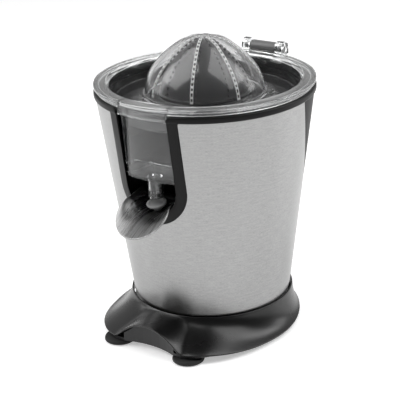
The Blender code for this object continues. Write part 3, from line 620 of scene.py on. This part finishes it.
def make_sleeve():
    sleeve = trim_back(cone_wall("steel_body", SLEEVE_FOOT_Z, BODY_TOP[1]), keep_front=True)
    modify(sleeve, "SOLIDIFY", thickness=0.8 * MM, offset=-1)
    cut(sleeve, flared_tool("slot", SLOT_OUTER + 0.3, RING_LOW - 0.2, 1.2))
    finished(sleeve, "chassis", BRUSHED_STEEL, "brushed_steel", "steel_sleeve")


make_sleeve()

# %% [markdown]
# ## The rear panel
#
# Behind the slanted edge the body is black plastic. It is the other side of the same bisected cone, a
# little thicker than the steel and set back by a hair, so that a fine joint line shows.


# %% Rear panel
def make_rear_panel():
    panel = cone_wall("rear_cover", SLEEVE_FOOT_Z, BODY_TOP[1] - 0.3, offset=-0.1)
    trim_back(panel, keep_front=False)
    modify(panel, "SOLIDIFY", thickness=1.0 * MM, offset=-1)
    bevel_edges(panel, 0.3, 2, 50)
    finished(panel, "chassis", SATIN_BLACK, "black_satin", "rear_panel")


make_rear_panel()

# %% [markdown]
# ## The ring and the slot's frame
#
# One black moulding covers the sleeve's top edge and lines the slot. The frame is a piece of the same cone,
# cut to a U by two tools, one wider than the other. The ring is turned, and joined to it with a Boolean.
# The ring stops at the slot, where its corners are rounded.


# %% Top ring and slot frame
def make_top_frame():
    frame_piece = cone_wall("top_ring_and_slot_frame", 90, 190.2, offset=0.5)
    modify(frame_piece, "SOLIDIFY", thickness=1.5 * MM, offset=-1)
    cut(frame_piece, flared_tool("outer", SLOT_OUTER, RING_LOW, 1.2, top=189.6), "INTERSECT")
    outer = ((84.7, RING_LOW), (85.1, RING_LOW + 1), (85.1, RING_TOP - 1), (84.1, RING_TOP))
    ring = turned("ring", ((77, RING_LOW), *outer, (77, RING_TOP)), steps=224, fillet=0.5)
    cut(frame_piece, ring, "UNION")
    cut(frame_piece, flared_tool("inner", SLOT_INNER, RING_TOP + 0.1, 4.5))
    bevel_edges(frame_piece, 0.7, 3, 40)
    finished(frame_piece, "chassis", SATIN_BLACK, "black_satin", "top_bezel")


make_top_frame()

# %% [markdown]
# ## The flared base
#
# The base is a skirt that starts as a round collar and flares to a rounded outline with two lobes at the
# front, with an arch between them. It is built from a circle. Each new ring is an extruded copy of the
# last, and its points are then slid to where the flare should be at their own angle. Solidify gives the
# wall.

# %% The skirt's shape, by angle from the front
COLLAR = (64.8, 24.6)  # radius and height
ARCH_HALF, ARCH_Z, ARCH_Y = 31, 23, 90.4
# The lower edge's radius in millimetres, by degrees from the front
OUTLINE = (
    (18.7, 95.4), (24, 95.6), (30, 94.6), (41, 90.6), (52, 85.8), (65.5, 80.6), (85, 76.2), (106, 72.4),
    (125, 70.6), (152, 70.6), (180, 71.0),
)
LEVELS = ((0, 6.4), (30, 6.4), (45, 5.2), (60, 4.0), (75, 3.8), (180, 3.8))
FULL_DROP = 16  # an edge this far below the arch's top has the full curve
LOBE_DEG, SIDE_DEG = 30, 65  # the flare is full up to the first angle, and hollow from the second


def through(keys, deg):
    """The value at deg of a smooth curve through (degrees, value) keys."""
    i = min(max(sum(deg > a for a, _ in keys), 1), len(keys) - 1)
    (a, r), (b, s) = keys[i - 1], keys[i]
    before, after = keys[max(i - 2, 0)], keys[min(i + 1, len(keys) - 1)]
    start = (s - before[1]) / (b - before[0]) * (b - a)
    end = (after[1] - r) / (after[0] - a) * (b - a)
    t = min((deg - a) / (b - a), 1.0)
    blend = (2 * t**3 - 3 * t**2 + 1) * r + (t**3 - 2 * t**2 + t) * start
    return blend + (3 * t**2 - 2 * t**3) * s + (t**3 - t**2) * end


def edge_radius(angle):
    """Radius of the lower edge at an angle. It is straight across under the arch."""
    deg = abs(math.degrees(angle))
    return ARCH_Y / math.cos(angle) if deg <= OUTLINE[0][0] else through(OUTLINE, deg)


def edge_height(angle):
    """Height of the lower edge: an arch at the front, and lower along the sides than at the lobes."""
    level = through(LEVELS, abs(math.degrees(angle)))
    x = abs(edge_radius(angle) * math.sin(angle))
    if math.cos(angle) < 0 or x >= ARCH_HALF:
        return level
    return ARCH_Z - (ARCH_Z - level) * (x / ARCH_HALF) ** 2


def flare_point(angle, t):
    """Radius and height on the flare, at share t of the way down. It is fuller over the lobes."""
    r, z = edge_radius(angle), edge_height(angle)
    low_share = min((ARCH_Z - z) / FULL_DROP, 1)
    side = min(max((abs(math.degrees(angle)) - LOBE_DEG) / (SIDE_DEG - LOBE_DEG), 0), 1)
    side = side * side * (3 - 2 * side)
    reach = r - COLLAR[0]
    guides = (
        COLLAR,
        (COLLAR[0] + 0.05 * reach, COLLAR[1] - 3 - 7 * low_share),
        (r - (0.2 + 0.35 * side) * reach, z + 1 - 0.4 * side + (4 - 3.2 * side) * low_share),
        (r, z),
    )
    weights = ((1 - t) ** 3, 3 * t * (1 - t) ** 2, 3 * t * t * (1 - t), t ** 3)
    return sum(w * g[0] for w, g in zip(weights, guides)), sum(w * g[1] for w, g in zip(weights, guides))


print("front lobe reaches", round(edge_radius(math.radians(25)), 1), "mm")
print("back reaches", round(edge_radius(math.pi), 1), "mm")


# %% Growing the skirt ring by ring
def make_skirt(sides=240, rings=14):
    deselect()
    bpy.ops.mesh.primitive_circle_add(vertices=sides, radius=COLLAR[0] * MM, location=(0, 0, COLLAR[1] * MM))
    skirt = apply_place(named("flared_base"))
    edit(skirt)
    bpy.ops.mesh.select_all(action="SELECT")
    for k in range(1, rings + 1):
        bpy.ops.mesh.extrude_region_move()
        bm = bmesh.from_edit_mesh(skirt.data)
        for v in (v for v in bm.verts if v.select):
            angle = math.atan2(v.co.x, -v.co.y)
            r, z = flare_point(angle, k / rings)
            v.co = (r * MM * math.sin(angle), -r * MM * math.cos(angle), z * MM)
        bmesh.update_edit_mesh(skirt.data)
    bpy.ops.mesh.select_all(action="SELECT")
    bpy.ops.mesh.normals_make_consistent(inside=False)
    deselect()
    modify(skirt, "SMOOTH", factor=0.5, iterations=2)
    modify(skirt, "SOLIDIFY", thickness=1.4 * MM, offset=-1)
    bevel_edges(skirt, 0.5, 3, 55)
    finished(skirt, "chassis", GLOSS_BLACK, "black_gloss", "base_skirt", angle=50)


make_skirt()

# %% [markdown]
# ## Feet
#
# Four rubber feet, each turned, with a soft rounded tread.


# %% Feet
FOOT_SECTION = ((0, 0), (11.3, 0), (12.2, 0.6), (12.4, 1.4), (11.9, 3.2), (4, 3.2), (4, 5.8), (0, 5.8))


def make_feet():
    for name in ("foot_front_left", "foot_front_right", "foot_rear_right", "foot_rear_left"):
        low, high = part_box(name)
        foot = turned(name + "_rubber", FOOT_SECTION, steps=48, fillet=0.5)
        foot.location = ((low[0] + high[0]) / 2, (low[1] + high[1]) / 2 - AXIS_Y, 0)
        finished(foot, "chassis", RUBBER, "rubber", name)


make_feet()

# %% [markdown]
# ## The juice bowl
#
# The bowl is one clear moulding: a wide rim with a bead inside, a straight wall, a floor with a tube round
# the spindle, a flat-fronted channel that fills the slot, and a nozzle under it. Wherever light passes
# through a wall twice the wall must be closed and of an even thickness, so the bowl is turned as a full
# section and the channel is joined and hollowed with Booleans.

# %% The bowl's section and its channel
CHUTE_HALF, CHUTE_FLOOR = 22, 136.8
NOZZLE_Y, NOZZLE_MOUTH_Z = -68, 122.1
HINGE_Y, HINGE_Z = 87, 198.5
EAR_IN, EAR_OUT = 12.5, 18.8


def chute_solid(name, half, wall, top):
    """The channel's outer or inner shape: a bar cut to the slope of the body."""
    low = CHUTE_FLOOR + wall
    bar = slab(name, (-half, half), (-100, -61 - wall), (low, top))
    back = slab("back", (-half - 5, half + 5), (-70.6 + wall * 3, -40), (145 + wall, top + 5))
    cut(bar, back)
    step = BODY_TOP[1] + wall * 0.4
    slope = ((76.1 - wall, low - 5), (79.5 - wall, step))
    under_rim = ((83.3 - wall, step), (83.3 - wall, top + 5))
    section = ((0, low - 5), *slope, *under_rim, (0, top + 5))
    cut(bar, turned("limit", section, steps=160, fillet=0), "INTERSECT")
    return bar


def nozzle_tube(name, radius, low, high):
    return cylinder(name, radius, high - low, (0, NOZZLE_Y, (low + high) / 2))


def knuckle(x_low, x_high):
    """A clear ear with a rounded top that holds the hinge rod."""
    ear = slab("ear", (x_low, x_high), (81, 92.2), (194.5, 204.9))
    edit(ear)
    pick(ear, lambda co: co.z > 204 * MM and abs(co.y - 86.6 * MM) > 5 * MM, "EDGE")
    bpy.ops.mesh.bevel(offset=5.0 * MM, segments=8)
    deselect()
    return ear


def make_bowl():
    inside = (
        (13.2, 166), (15.2, 166), (15.2, 146), (68, 146), (72, 150), (72, 171), (70.4, 172.4), (70.4, 173.1),
        (72, 173.1), (72, 190), (73.2, 194.8), (75.6, 197),
    )
    outside = (
        (84.1, 197), (85, 196.1), (85, 194.1), (83.6, 194), (83.6, 191.8), (81, 191.8), (81, 194), (74, 194),
        (74, 149), (69, 144), (13.2, 144),
    )
    bowl = turned("clear_juice_bowl", inside + outside, steps=192, fillet=0.6)
    cut(bowl, chute_solid("chute", CHUTE_HALF, 0, 195.5), "UNION")
    cut(bowl, nozzle_tube("nozzle", 6, NOZZLE_MOUTH_Z, CHUTE_FLOOR + 1), "UNION")
    cut(bowl, chute_solid("room", CHUTE_HALF - 2, 2, 193.3))
    cut(bowl, nozzle_tube("bore", 4.4, NOZZLE_MOUTH_Z - 5, CHUTE_FLOOR + 5))
    for side in (-1, 1):
        a, b = sorted((side * EAR_IN, side * EAR_OUT))
        cut(bowl, knuckle(a, b), "UNION")
    cut(bowl, slab("notch", (-EAR_IN - 0.05, EAR_IN + 0.05), (81.7, 95), (185, 200)))
    cut(bowl, laid_along(cylinder("hinge_hole", 2.8, 60, (0, 0, 0)), "X", (0, HINGE_Y, HINGE_Z)))
    tidy_mesh(bowl)
    finished(bowl, "collector", CLEAR, "clear", "juice_collector", angle=35)


make_bowl()

# %% [markdown]
# ## The hinge rod
#
# A grey rod sits between the ears at the back of the rim, for a dust lid that isn't fitted.


# %% Hinge rod
def make_hinge_rod():
    half, end = EAR_IN - 0.4, EAR_OUT - 1
    section = ((0, -end), (2.5, -end), (2.5, -half), (5, -half), (5, half), (2.5, half), (2.5, end), (0, end))
    rod = laid_along(turned("lid_hinge_bar", section, steps=48, fillet=0.5), "X", (0, HINGE_Y, HINGE_Z))
    finished(rod, "collector", MID_GREY, "dark_grey", "lid_hinge_rod")


make_hinge_rod()

# %% [markdown]
# ## The strainer
#
# A smoked disc with a rim that rests on the bowl's ledge. Rows of slots let the juice through. One slot
# tool is modelled and copied round in steps, and each copy cuts the disc.


# %% Strainer
def make_strainer():
    section = (
        (16, 171.5), (16, 167.2), (18, 167.2), (18, 169.4), (70, 173.6), (71.5, 174.6), (71.5, 182),
        (69.9, 182), (69.9, 175.3), (18, 171.5),
    )
    strainer = turned("pulp_sieve", section, steps=160, fillet=0.5)
    tools = []
    for count, inner, outer in ((20, 22, 33), (32, 37, 47)):
        for i in range(count):
            bar = slab("slit", (inner, outer), (-0.9, 0.9), (160, 180))
            bar.data.transform(Matrix.Rotation(math.tau * (i + 0.5) / count, 4, "Z"))
            tools.append(bar)
    choose(tools[0])
    for bar in tools:
        bar.select_set(True)
    bpy.ops.object.join()
    cut(strainer, tools[0])
    finished(strainer, "strainer", SMOKED, "smoke", "pulp_strainer")


make_strainer()

# %% [markdown]
# ## The reamer
#
# Two cones nest on the spindle: a charcoal one for small fruit, and a clear one over it for large fruit.
# Each is a turned dome with eight ribs that bite into the fruit, made from a strip of faces laid along the
# dome's own curve. On the charcoal cone every second face is extruded into a tooth. On the clear cone the
# rib is a frosted ladder of open links. Copies are turned into place.


# %% Domes and ribs
def along_curve(points, t):
    """A point at share t of a smooth curve through the points (radius, height)."""
    lengths = [0.0]
    for a, b in zip(points, points[1:]):
        lengths.append(lengths[-1] + math.dist(a, b))
    target = t * lengths[-1]
    for i in range(1, len(points)):
        if target <= lengths[i] + 1e-9:
            u = (target - lengths[i - 1]) / (lengths[i] - lengths[i - 1])
            before, after = points[max(i - 2, 0)], points[min(i + 1, len(points) - 1)]
            return tuple(
                0.5 * (2 * b + (c - a) * u + (2 * a - 5 * b + 4 * c - d) * u * u
                       + (3 * b - a - 3 * c + d) * u ** 3)
                for a, b, c, d in zip(before, points[i - 1], points[i], after)
            )
    return points[-1]


def smooth_section(points, count):
    return [along_curve(points, i / count) for i in range(count + 1)]


def rib_strip(name, points, half, raise_by, teeth, sink, start=0.06, end=0.97):
    """One toothed rib: a closed bar along the curve, with every second face pulled outwards."""
    count = teeth * 2
    deselect()
    bpy.ops.mesh.primitive_grid_add(x_subdivisions=count, y_subdivisions=1, size=1)
    rib = named(name)
    edit(rib)
    bm = bmesh.from_edit_mesh(rib.data)
    for v in bm.verts:
        t = start + (v.co.x + 0.5) * (end - start)
        r, z = along_curve(points, t)
        narrow = half * min(1.0, r / 9)
        v.co = Vector((narrow * (1 if v.co.y > 0 else -1), -r, z)) * MM
    bm.normal_update()
    bmesh.update_edit_mesh(rib.data)
    bpy.ops.mesh.select_all(action="SELECT")
    bpy.ops.mesh.normals_make_consistent(inside=False)
    if bmesh.from_edit_mesh(rib.data).faces[:][0].normal.z < 0:
        bpy.ops.mesh.flip_normals()
    deselect()
    modify(rib, "SOLIDIFY", thickness=sink * MM, offset=-1)
    edit(rib)
    bpy.ops.mesh.select_mode(type="FACE")
    bpy.ops.mesh.select_all(action="DESELECT")
    bm = bmesh.from_edit_mesh(rib.data)
    bm.faces.ensure_lookup_table()
    quads = [f for f in bm.faces if len(f.verts) == 4 and abs(f.normal.x) < 0.3]
    tops = [f for f in quads if f.normal.z > 0.05 or f.normal.y < -0.7]
    outer = [f for f in tops if is_outer(f.calc_center_median() / MM, points)]
    outer.sort(key=lambda f: f.calc_center_median().z)
    for f in outer[::2]:
        f.select_set(True)
    bmesh.update_edit_mesh(rib.data)
    bpy.ops.mesh.inset(thickness=0.12 * MM, depth=0, use_individual=True)
    bpy.ops.mesh.extrude_faces_move(TRANSFORM_OT_shrink_fatten={"value": raise_by * MM})
    deselect()
    return rib


def is_outer(point, points):
    """True for a face on the curve itself rather than on the sunk underside."""
    nearest = min(math.dist((abs(point.y), point.z), along_curve(points, i / 120)) for i in range(121))
    return nearest < 0.45


# %% [markdown]
# The clear cone shows its ribs most, so they are a piece of their own with a frosted finish. It reads as
# the row of pale links that runs down the dome, with the dark cone showing through every window.

# %% The clear cone for large fruit
LARGE = (
    (0.0, 228.8), (5.0, 228.5), (10.0, 227.5), (15.0, 226.0), (20.5, 223.1), (30.7, 215.1), (39.3, 205.6),
    (44.0, 197.5), (45.8, 191.5), (46.4, 186.8),
)
RIBS, FIRST_RIB_DEG = 8, -22.5


def ladder(name, points, half, links, link_share, border, raised, sunk, start=0.085, end=0.96):
    """A rib of open links: a strip on the curve with a window cut in each long cell, then thickened."""
    deselect()
    bpy.ops.mesh.primitive_grid_add(x_subdivisions=links * 2, y_subdivisions=1, size=1)
    rib = named(name)
    edit(rib)
    bm = bmesh.from_edit_mesh(rib.data)
    for v in bm.verts:
        cell = round((v.co.x + 0.5) * links * 2)
        t = start + (cell // 2 + (link_share if cell % 2 else 0)) / links * (end - start)
        (r, z), (r2, z2) = along_curve(points, t), along_curve(points, t + 0.01)
        out = Vector((z - z2, r2 - r)).normalized() * raised
        r, z = r + out.x, z + out.y
        v.co = Vector((half * min(1.0, 0.45 + r / 20) * (1 if v.co.y > 0 else -1), -r, z)) * MM
    bmesh.update_edit_mesh(rib.data)
    bpy.ops.mesh.select_all(action="SELECT")
    bpy.ops.mesh.normals_make_consistent(inside=False)
    bpy.ops.mesh.select_mode(type="FACE")
    bpy.ops.mesh.select_all(action="DESELECT")
    bm = bmesh.from_edit_mesh(rib.data)
    if bm.faces[:][0].normal.z < 0:
        for f in bm.faces:
            f.normal_flip()
    for f in sorted(bm.faces, key=lambda f: -f.calc_center_median().z)[::2]:
        f.select_set(True)
    bmesh.update_edit_mesh(rib.data)
    bpy.ops.mesh.inset(thickness=border * MM, depth=0, use_individual=True)
    bpy.ops.mesh.delete(type="FACE")
    deselect()
    return modify(rib, "SOLIDIFY", thickness=(raised + sunk) * MM, offset=-1)


def make_large_cone():
    foot = [(46.6, 186.5), (47.8, 186.2), (48.0, 185.8), (48.0, 184.7), (43.4, 184.7)]
    inner = [(r - 1.7, z - 1.6) for r, z in smooth_section(LARGE, 24)[::-1] if r > 4] + [(0.0, 227.0)]
    cone = turned("clear_reamer_cone", smooth_section(LARGE, 40) + foot + inner, steps=160, fillet=0)
    finished(cone, "large_cone", CLEAR_CONE, "clear", "large_cone", angle=40)

    ribs = []
    for i in range(RIBS):
        ribs.append(ladder(f"rib_{i}", LARGE, 1.15, 15, 0.72, 0.34, 0.4, 0.5))
        ribs[i].data.transform(Matrix.Rotation(math.radians(FIRST_RIB_DEG + 360 / RIBS * i), 4, "Z"))
    choose(ribs[0])
    for rib in ribs:
        rib.select_set(True)
    bpy.ops.object.join()
    finished(named("clear_reamer_ribs"), "large_cone", FROSTED, "clear", "large_cone")


make_large_cone()

# %% The charcoal cone for small fruit
SMALL = (
    (0.0, 225.2), (2.5, 225.0), (6.0, 224.0), (10.0, 221.8), (20.0, 213.6), (28.0, 203.6), (32.0, 195.0),
    (33.4, 187.0),
)


def make_small_cone():
    foot = [(35.4, 186.5), (35.4, 184.7), (31.5, 184.7)]
    inner = [(30.0, 192.0), (19.0, 207.0), (9.0, 213.0)]
    socket = [(8.4, 188.0), (6.2, 188.0), (6.2, 208.5), (0.0, 208.5)]
    section = smooth_section(SMALL, 40) + foot + inner + socket
    cone = turned("charcoal_reamer_cone", section, steps=160, fillet=0)
    rib = rib_strip("small_rib", SMALL, 0.9, 1.3, 12, 0.8)
    for i in range(RIBS):
        copy = rib.copy()
        copy.data = rib.data.copy()
        bpy.context.scene.collection.objects.link(copy)
        copy.data.transform(Matrix.Rotation(math.radians(FIRST_RIB_DEG + 360 / RIBS * i), 4, "Z"))
        choose(cone)
        copy.select_set(True)
        bpy.ops.object.join()
    bpy.data.objects.remove(rib)
    finished(cone, "small_cone", CHARCOAL, "charcoal", "small_cone", angle=40)


make_small_cone()

# %% [markdown]
# ## The spout
#
# A pressed scoop of steel. It is level where it passes through the slot, where its section is an arc, and
# then spreads and drops to a wide round lip. A grid primitive has the rows and columns already, so its
# points are laid on that surface. Solidify gives the sheet, and Bevel rounds its edges.

# %% The scoop
SCOOP_R, LIP, TIP = 21.0, (22.0, -84.0, 116.4), (-104.2, 101.4)


def scoop_point(row, share):
    """Rows 0 to 3 run level through the slot, and rows 3 to 8 spread to the lip. share is -1 to 1 across."""
    level = min(row, 3) / 3
    turn = math.radians((69 - 7.5 * level) * share)
    x, y, z = SCOOP_R * math.sin(turn), -58 - 18 * level, 131.6 - SCOOP_R * math.cos(turn)
    spread = max(row - 3, 0) / 5
    s, c = math.sin(math.pi / 2 * share), math.cos(math.pi / 2 * share)
    lip = (LIP[0] * s, LIP[1] + (TIP[0] - LIP[1]) * c, LIP[2] + (TIP[1] - LIP[2]) * c)
    return Vector((x + (lip[0] - x) * spread, y + (lip[1] - y) * spread, z + (lip[2] - z) * spread ** 1.5))


def make_scoop():
    deselect()
    bpy.ops.mesh.primitive_grid_add(x_subdivisions=48, y_subdivisions=40, size=1)
    scoop = named("steel_spout")
    edit(scoop)
    bm = bmesh.from_edit_mesh(scoop.data)
    for v in bm.verts:
        v.co = scoop_point((v.co.y + 0.5) * 8, v.co.x * 2) * MM
    bmesh.update_edit_mesh(scoop.data)
    bpy.ops.mesh.select_all(action="SELECT")
    bpy.ops.mesh.normals_make_consistent(inside=False)
    bm = bmesh.from_edit_mesh(scoop.data)
    bm.faces.ensure_lookup_table()
    middle = min(bm.faces, key=lambda f: abs(f.calc_center_median().x) + abs(f.calc_center_median().y + 0.07))
    if middle.normal.z < 0:
        bpy.ops.mesh.flip_normals()
    deselect()
    modify(scoop, "SOLIDIFY", thickness=0.8 * MM, offset=-1)
    bevel_edges(scoop, 0.25, 2, 50)
    finished(scoop, "spout", SHADED_SPOUT_STEEL, "brushed_steel", "spout_scoop", angle=40)


make_scoop()

# %% [markdown]
# ## The drip seal
#
# A soft grey pad on a stem. It leans forward with the spout down, and comes level under the nozzle when the
# spout is tipped up.


# %% Drip seal
def make_seal():
    stem = ((0, -6.3), (3, -6.3), (3, -2.1))
    pad = ((7, -2.1), (7.7, -1.4), (7.7, -0.4), (7.2, 0), (5.6, 0), (5.2, -0.5), (0, -0.5))
    seal = turned("drip_seal", stem + pad, steps=56, fillet=0.3)
    tilt = Matrix.Rotation(math.radians(11), 4, "X")
    seal.matrix_world = Matrix.Translation(Vector((0, -68, 117.5)) * MM) @ tilt
    finished(seal, "spout", SILICONE, "silicone", "spout_seal")


make_seal()

# %% [markdown]
# ## The cord's bush
#
# Low at the back is the rubber bush that the mains cord would pass through. Its outer end is a tapered
# sleeve with grooves, so that the cord bends gently.


# %% Cord bush
def make_cord_bush():
    section = [(2.6, 56.6), (5.9, 56.6), (5.9, 58.4), (4.9, 58.7), (4.9, 75.5)]
    for i in range(4):
        y, r = 76 + i * 2, 4.8 - i * 0.27
        section += [(r, y), (r - 0.6, y + 0.5), (r - 0.6, y + 1.0), (r - 0.1, y + 1.4)]
    section += [(3.7, 84), (2.6, 84)]
    bush = laid_along(turned("cord_sleeve", section, steps=48, fillet=0.15), "Y", (0, 0, 12.8))
    finished(bush, "chassis", RUBBER, "rubber", "cord_bush")


make_cord_bush()

# %% [markdown]
# ## Finishes for the solids that stay
#
# The cup under the bowl, the pocket behind the slot, the drive and the fixings keep their solid shapes.
# Each gets the finish of what it is made of.

# %% Finishes for the kept solids
KEPT = {
    "inner_cup": SATIN_BLACK, "spout_pocket": SATIN_BLACK, "spout_hub": SATIN_BLACK,
    "microswitch": SATIN_BLACK, "base_plate": DARK_GREY, "sleeve_seat_ring": DARK_GREY,
    "drive_hex": DARK_GREY, "gearbox_floor": DARK_GREY, "gearbox_cover": DARK_GREY,
    "cooling_fan": DARK_GREY, "shaft_seal": RUBBER, "spout_pin": PLAIN_STEEL,
    "spindle_shaft": POLISHED_STEEL, "spindle_clip": POLISHED_STEEL, "return_spring": POLISHED_STEEL,
    "mid_axle": POLISHED_STEEL, "motor_shaft": POLISHED_STEEL, "motor_can": PLAIN_STEEL,
    "rotor_core": PLAIN_STEEL, "output_gear": NYLON, "mid_gear": NYLON, "thrust_collar": NYLON,
    "switch_button": NYLON, "upper_bush": BRASS, "lower_bush": BRASS, "motor_pinion": BRASS,
    "field_winding": COPPER,
}
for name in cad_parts:
    if name.startswith(("base_screw", "gearbox_post")):
        KEPT[name] = PLAIN_STEEL
    elif name.startswith("chassis_leg"):
        KEPT[name] = DARK_GREY
for name, material in KEPT.items():
    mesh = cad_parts[name].data
    mesh.materials.clear()
    mesh.materials.append(material)
print("kept solids:", len(KEPT))

# %% [markdown]
# ## Floor and light
#
# A white floor, and a white room that is darker at the front right. The steel mirrors the dim side in the
# middle and the bright side at its edges, which gives it its roundness. Two soft lamps at the sides and two
# larger ones overhead add the long highlights. The overhead pair is large and dim, so that the domes mirror
# it faintly.


# %% Floor
def make_floor():
    deselect()
    bpy.ops.mesh.primitive_plane_add(size=8, location=(0, 0, -0.0002))
    floor = apply_place(named("studio_floor"))
    made, tree, shader, vector = start_material("white_paper", Roughness=0.35)
    marks = use_group(tree, PEBBLE, vector, Grain=900)
    blend_colours(tree, marks.outputs["Patches"], (0.86, 0.86, 0.86), (0.88, 0.88, 0.88), shader)
    shader.inputs["Emission Color"].default_value = (1, 1, 1, 1)
    shader.inputs["Emission Strength"].default_value = 0.42
    floor.data.materials.append(made)


make_floor()


# %% Room and lamps
def make_room():
    world = bpy.data.worlds.new("white_room")
    bpy.context.scene.world = world
    world.use_nodes = True
    tree = world.node_tree
    backdrop = tree.nodes["Background"]
    place = node(tree, "ShaderNodeTexCoord")
    facing = node(tree, "ShaderNodeVectorMath", operation="DOT_PRODUCT")
    tree.links.new(place.outputs["Generated"], facing.inputs[0])
    facing.inputs[1].default_value = (0.53, -0.80, 0.28)  # towards the front right
    shade = ranged(tree, facing.outputs["Value"], 0.62, 0.10, -0.35, 0.45)
    tree.links.new(shade, backdrop.inputs["Strength"])
    backdrop.inputs["Color"].default_value = (1, 1, 1, 1)


def softbox(name, place, aim, size, power):
    data = bpy.data.lights.new(name, "AREA")
    data.shape = "RECTANGLE"
    data.size, data.size_y = size
    data.energy = power
    lamp = bpy.data.objects.new(name, data)
    bpy.context.scene.collection.objects.link(lamp)
    lamp.location = place
    lamp.rotation_euler = (Vector(aim) - Vector(place)).to_track_quat("-Z", "Y").to_euler()


make_room()
softbox("left_window", (-1.1, -0.5, 0.7), (0, 0, 0.1), (0.5, 1.0), 4)
softbox("right_window", (0.9, 0.9, 0.7), (0, 0, 0.1), (0.5, 1.0), 4)
softbox("high_left", (-0.51, -0.46, 1.10), (0, 0, 0.1), (0.9, 1.1), 9)
softbox("high_right", (0.64, 0.26, 1.10), (0, 0, 0.1), (0.9, 1.1), 9)
bpy.context.scene.view_settings.view_transform = "Standard"
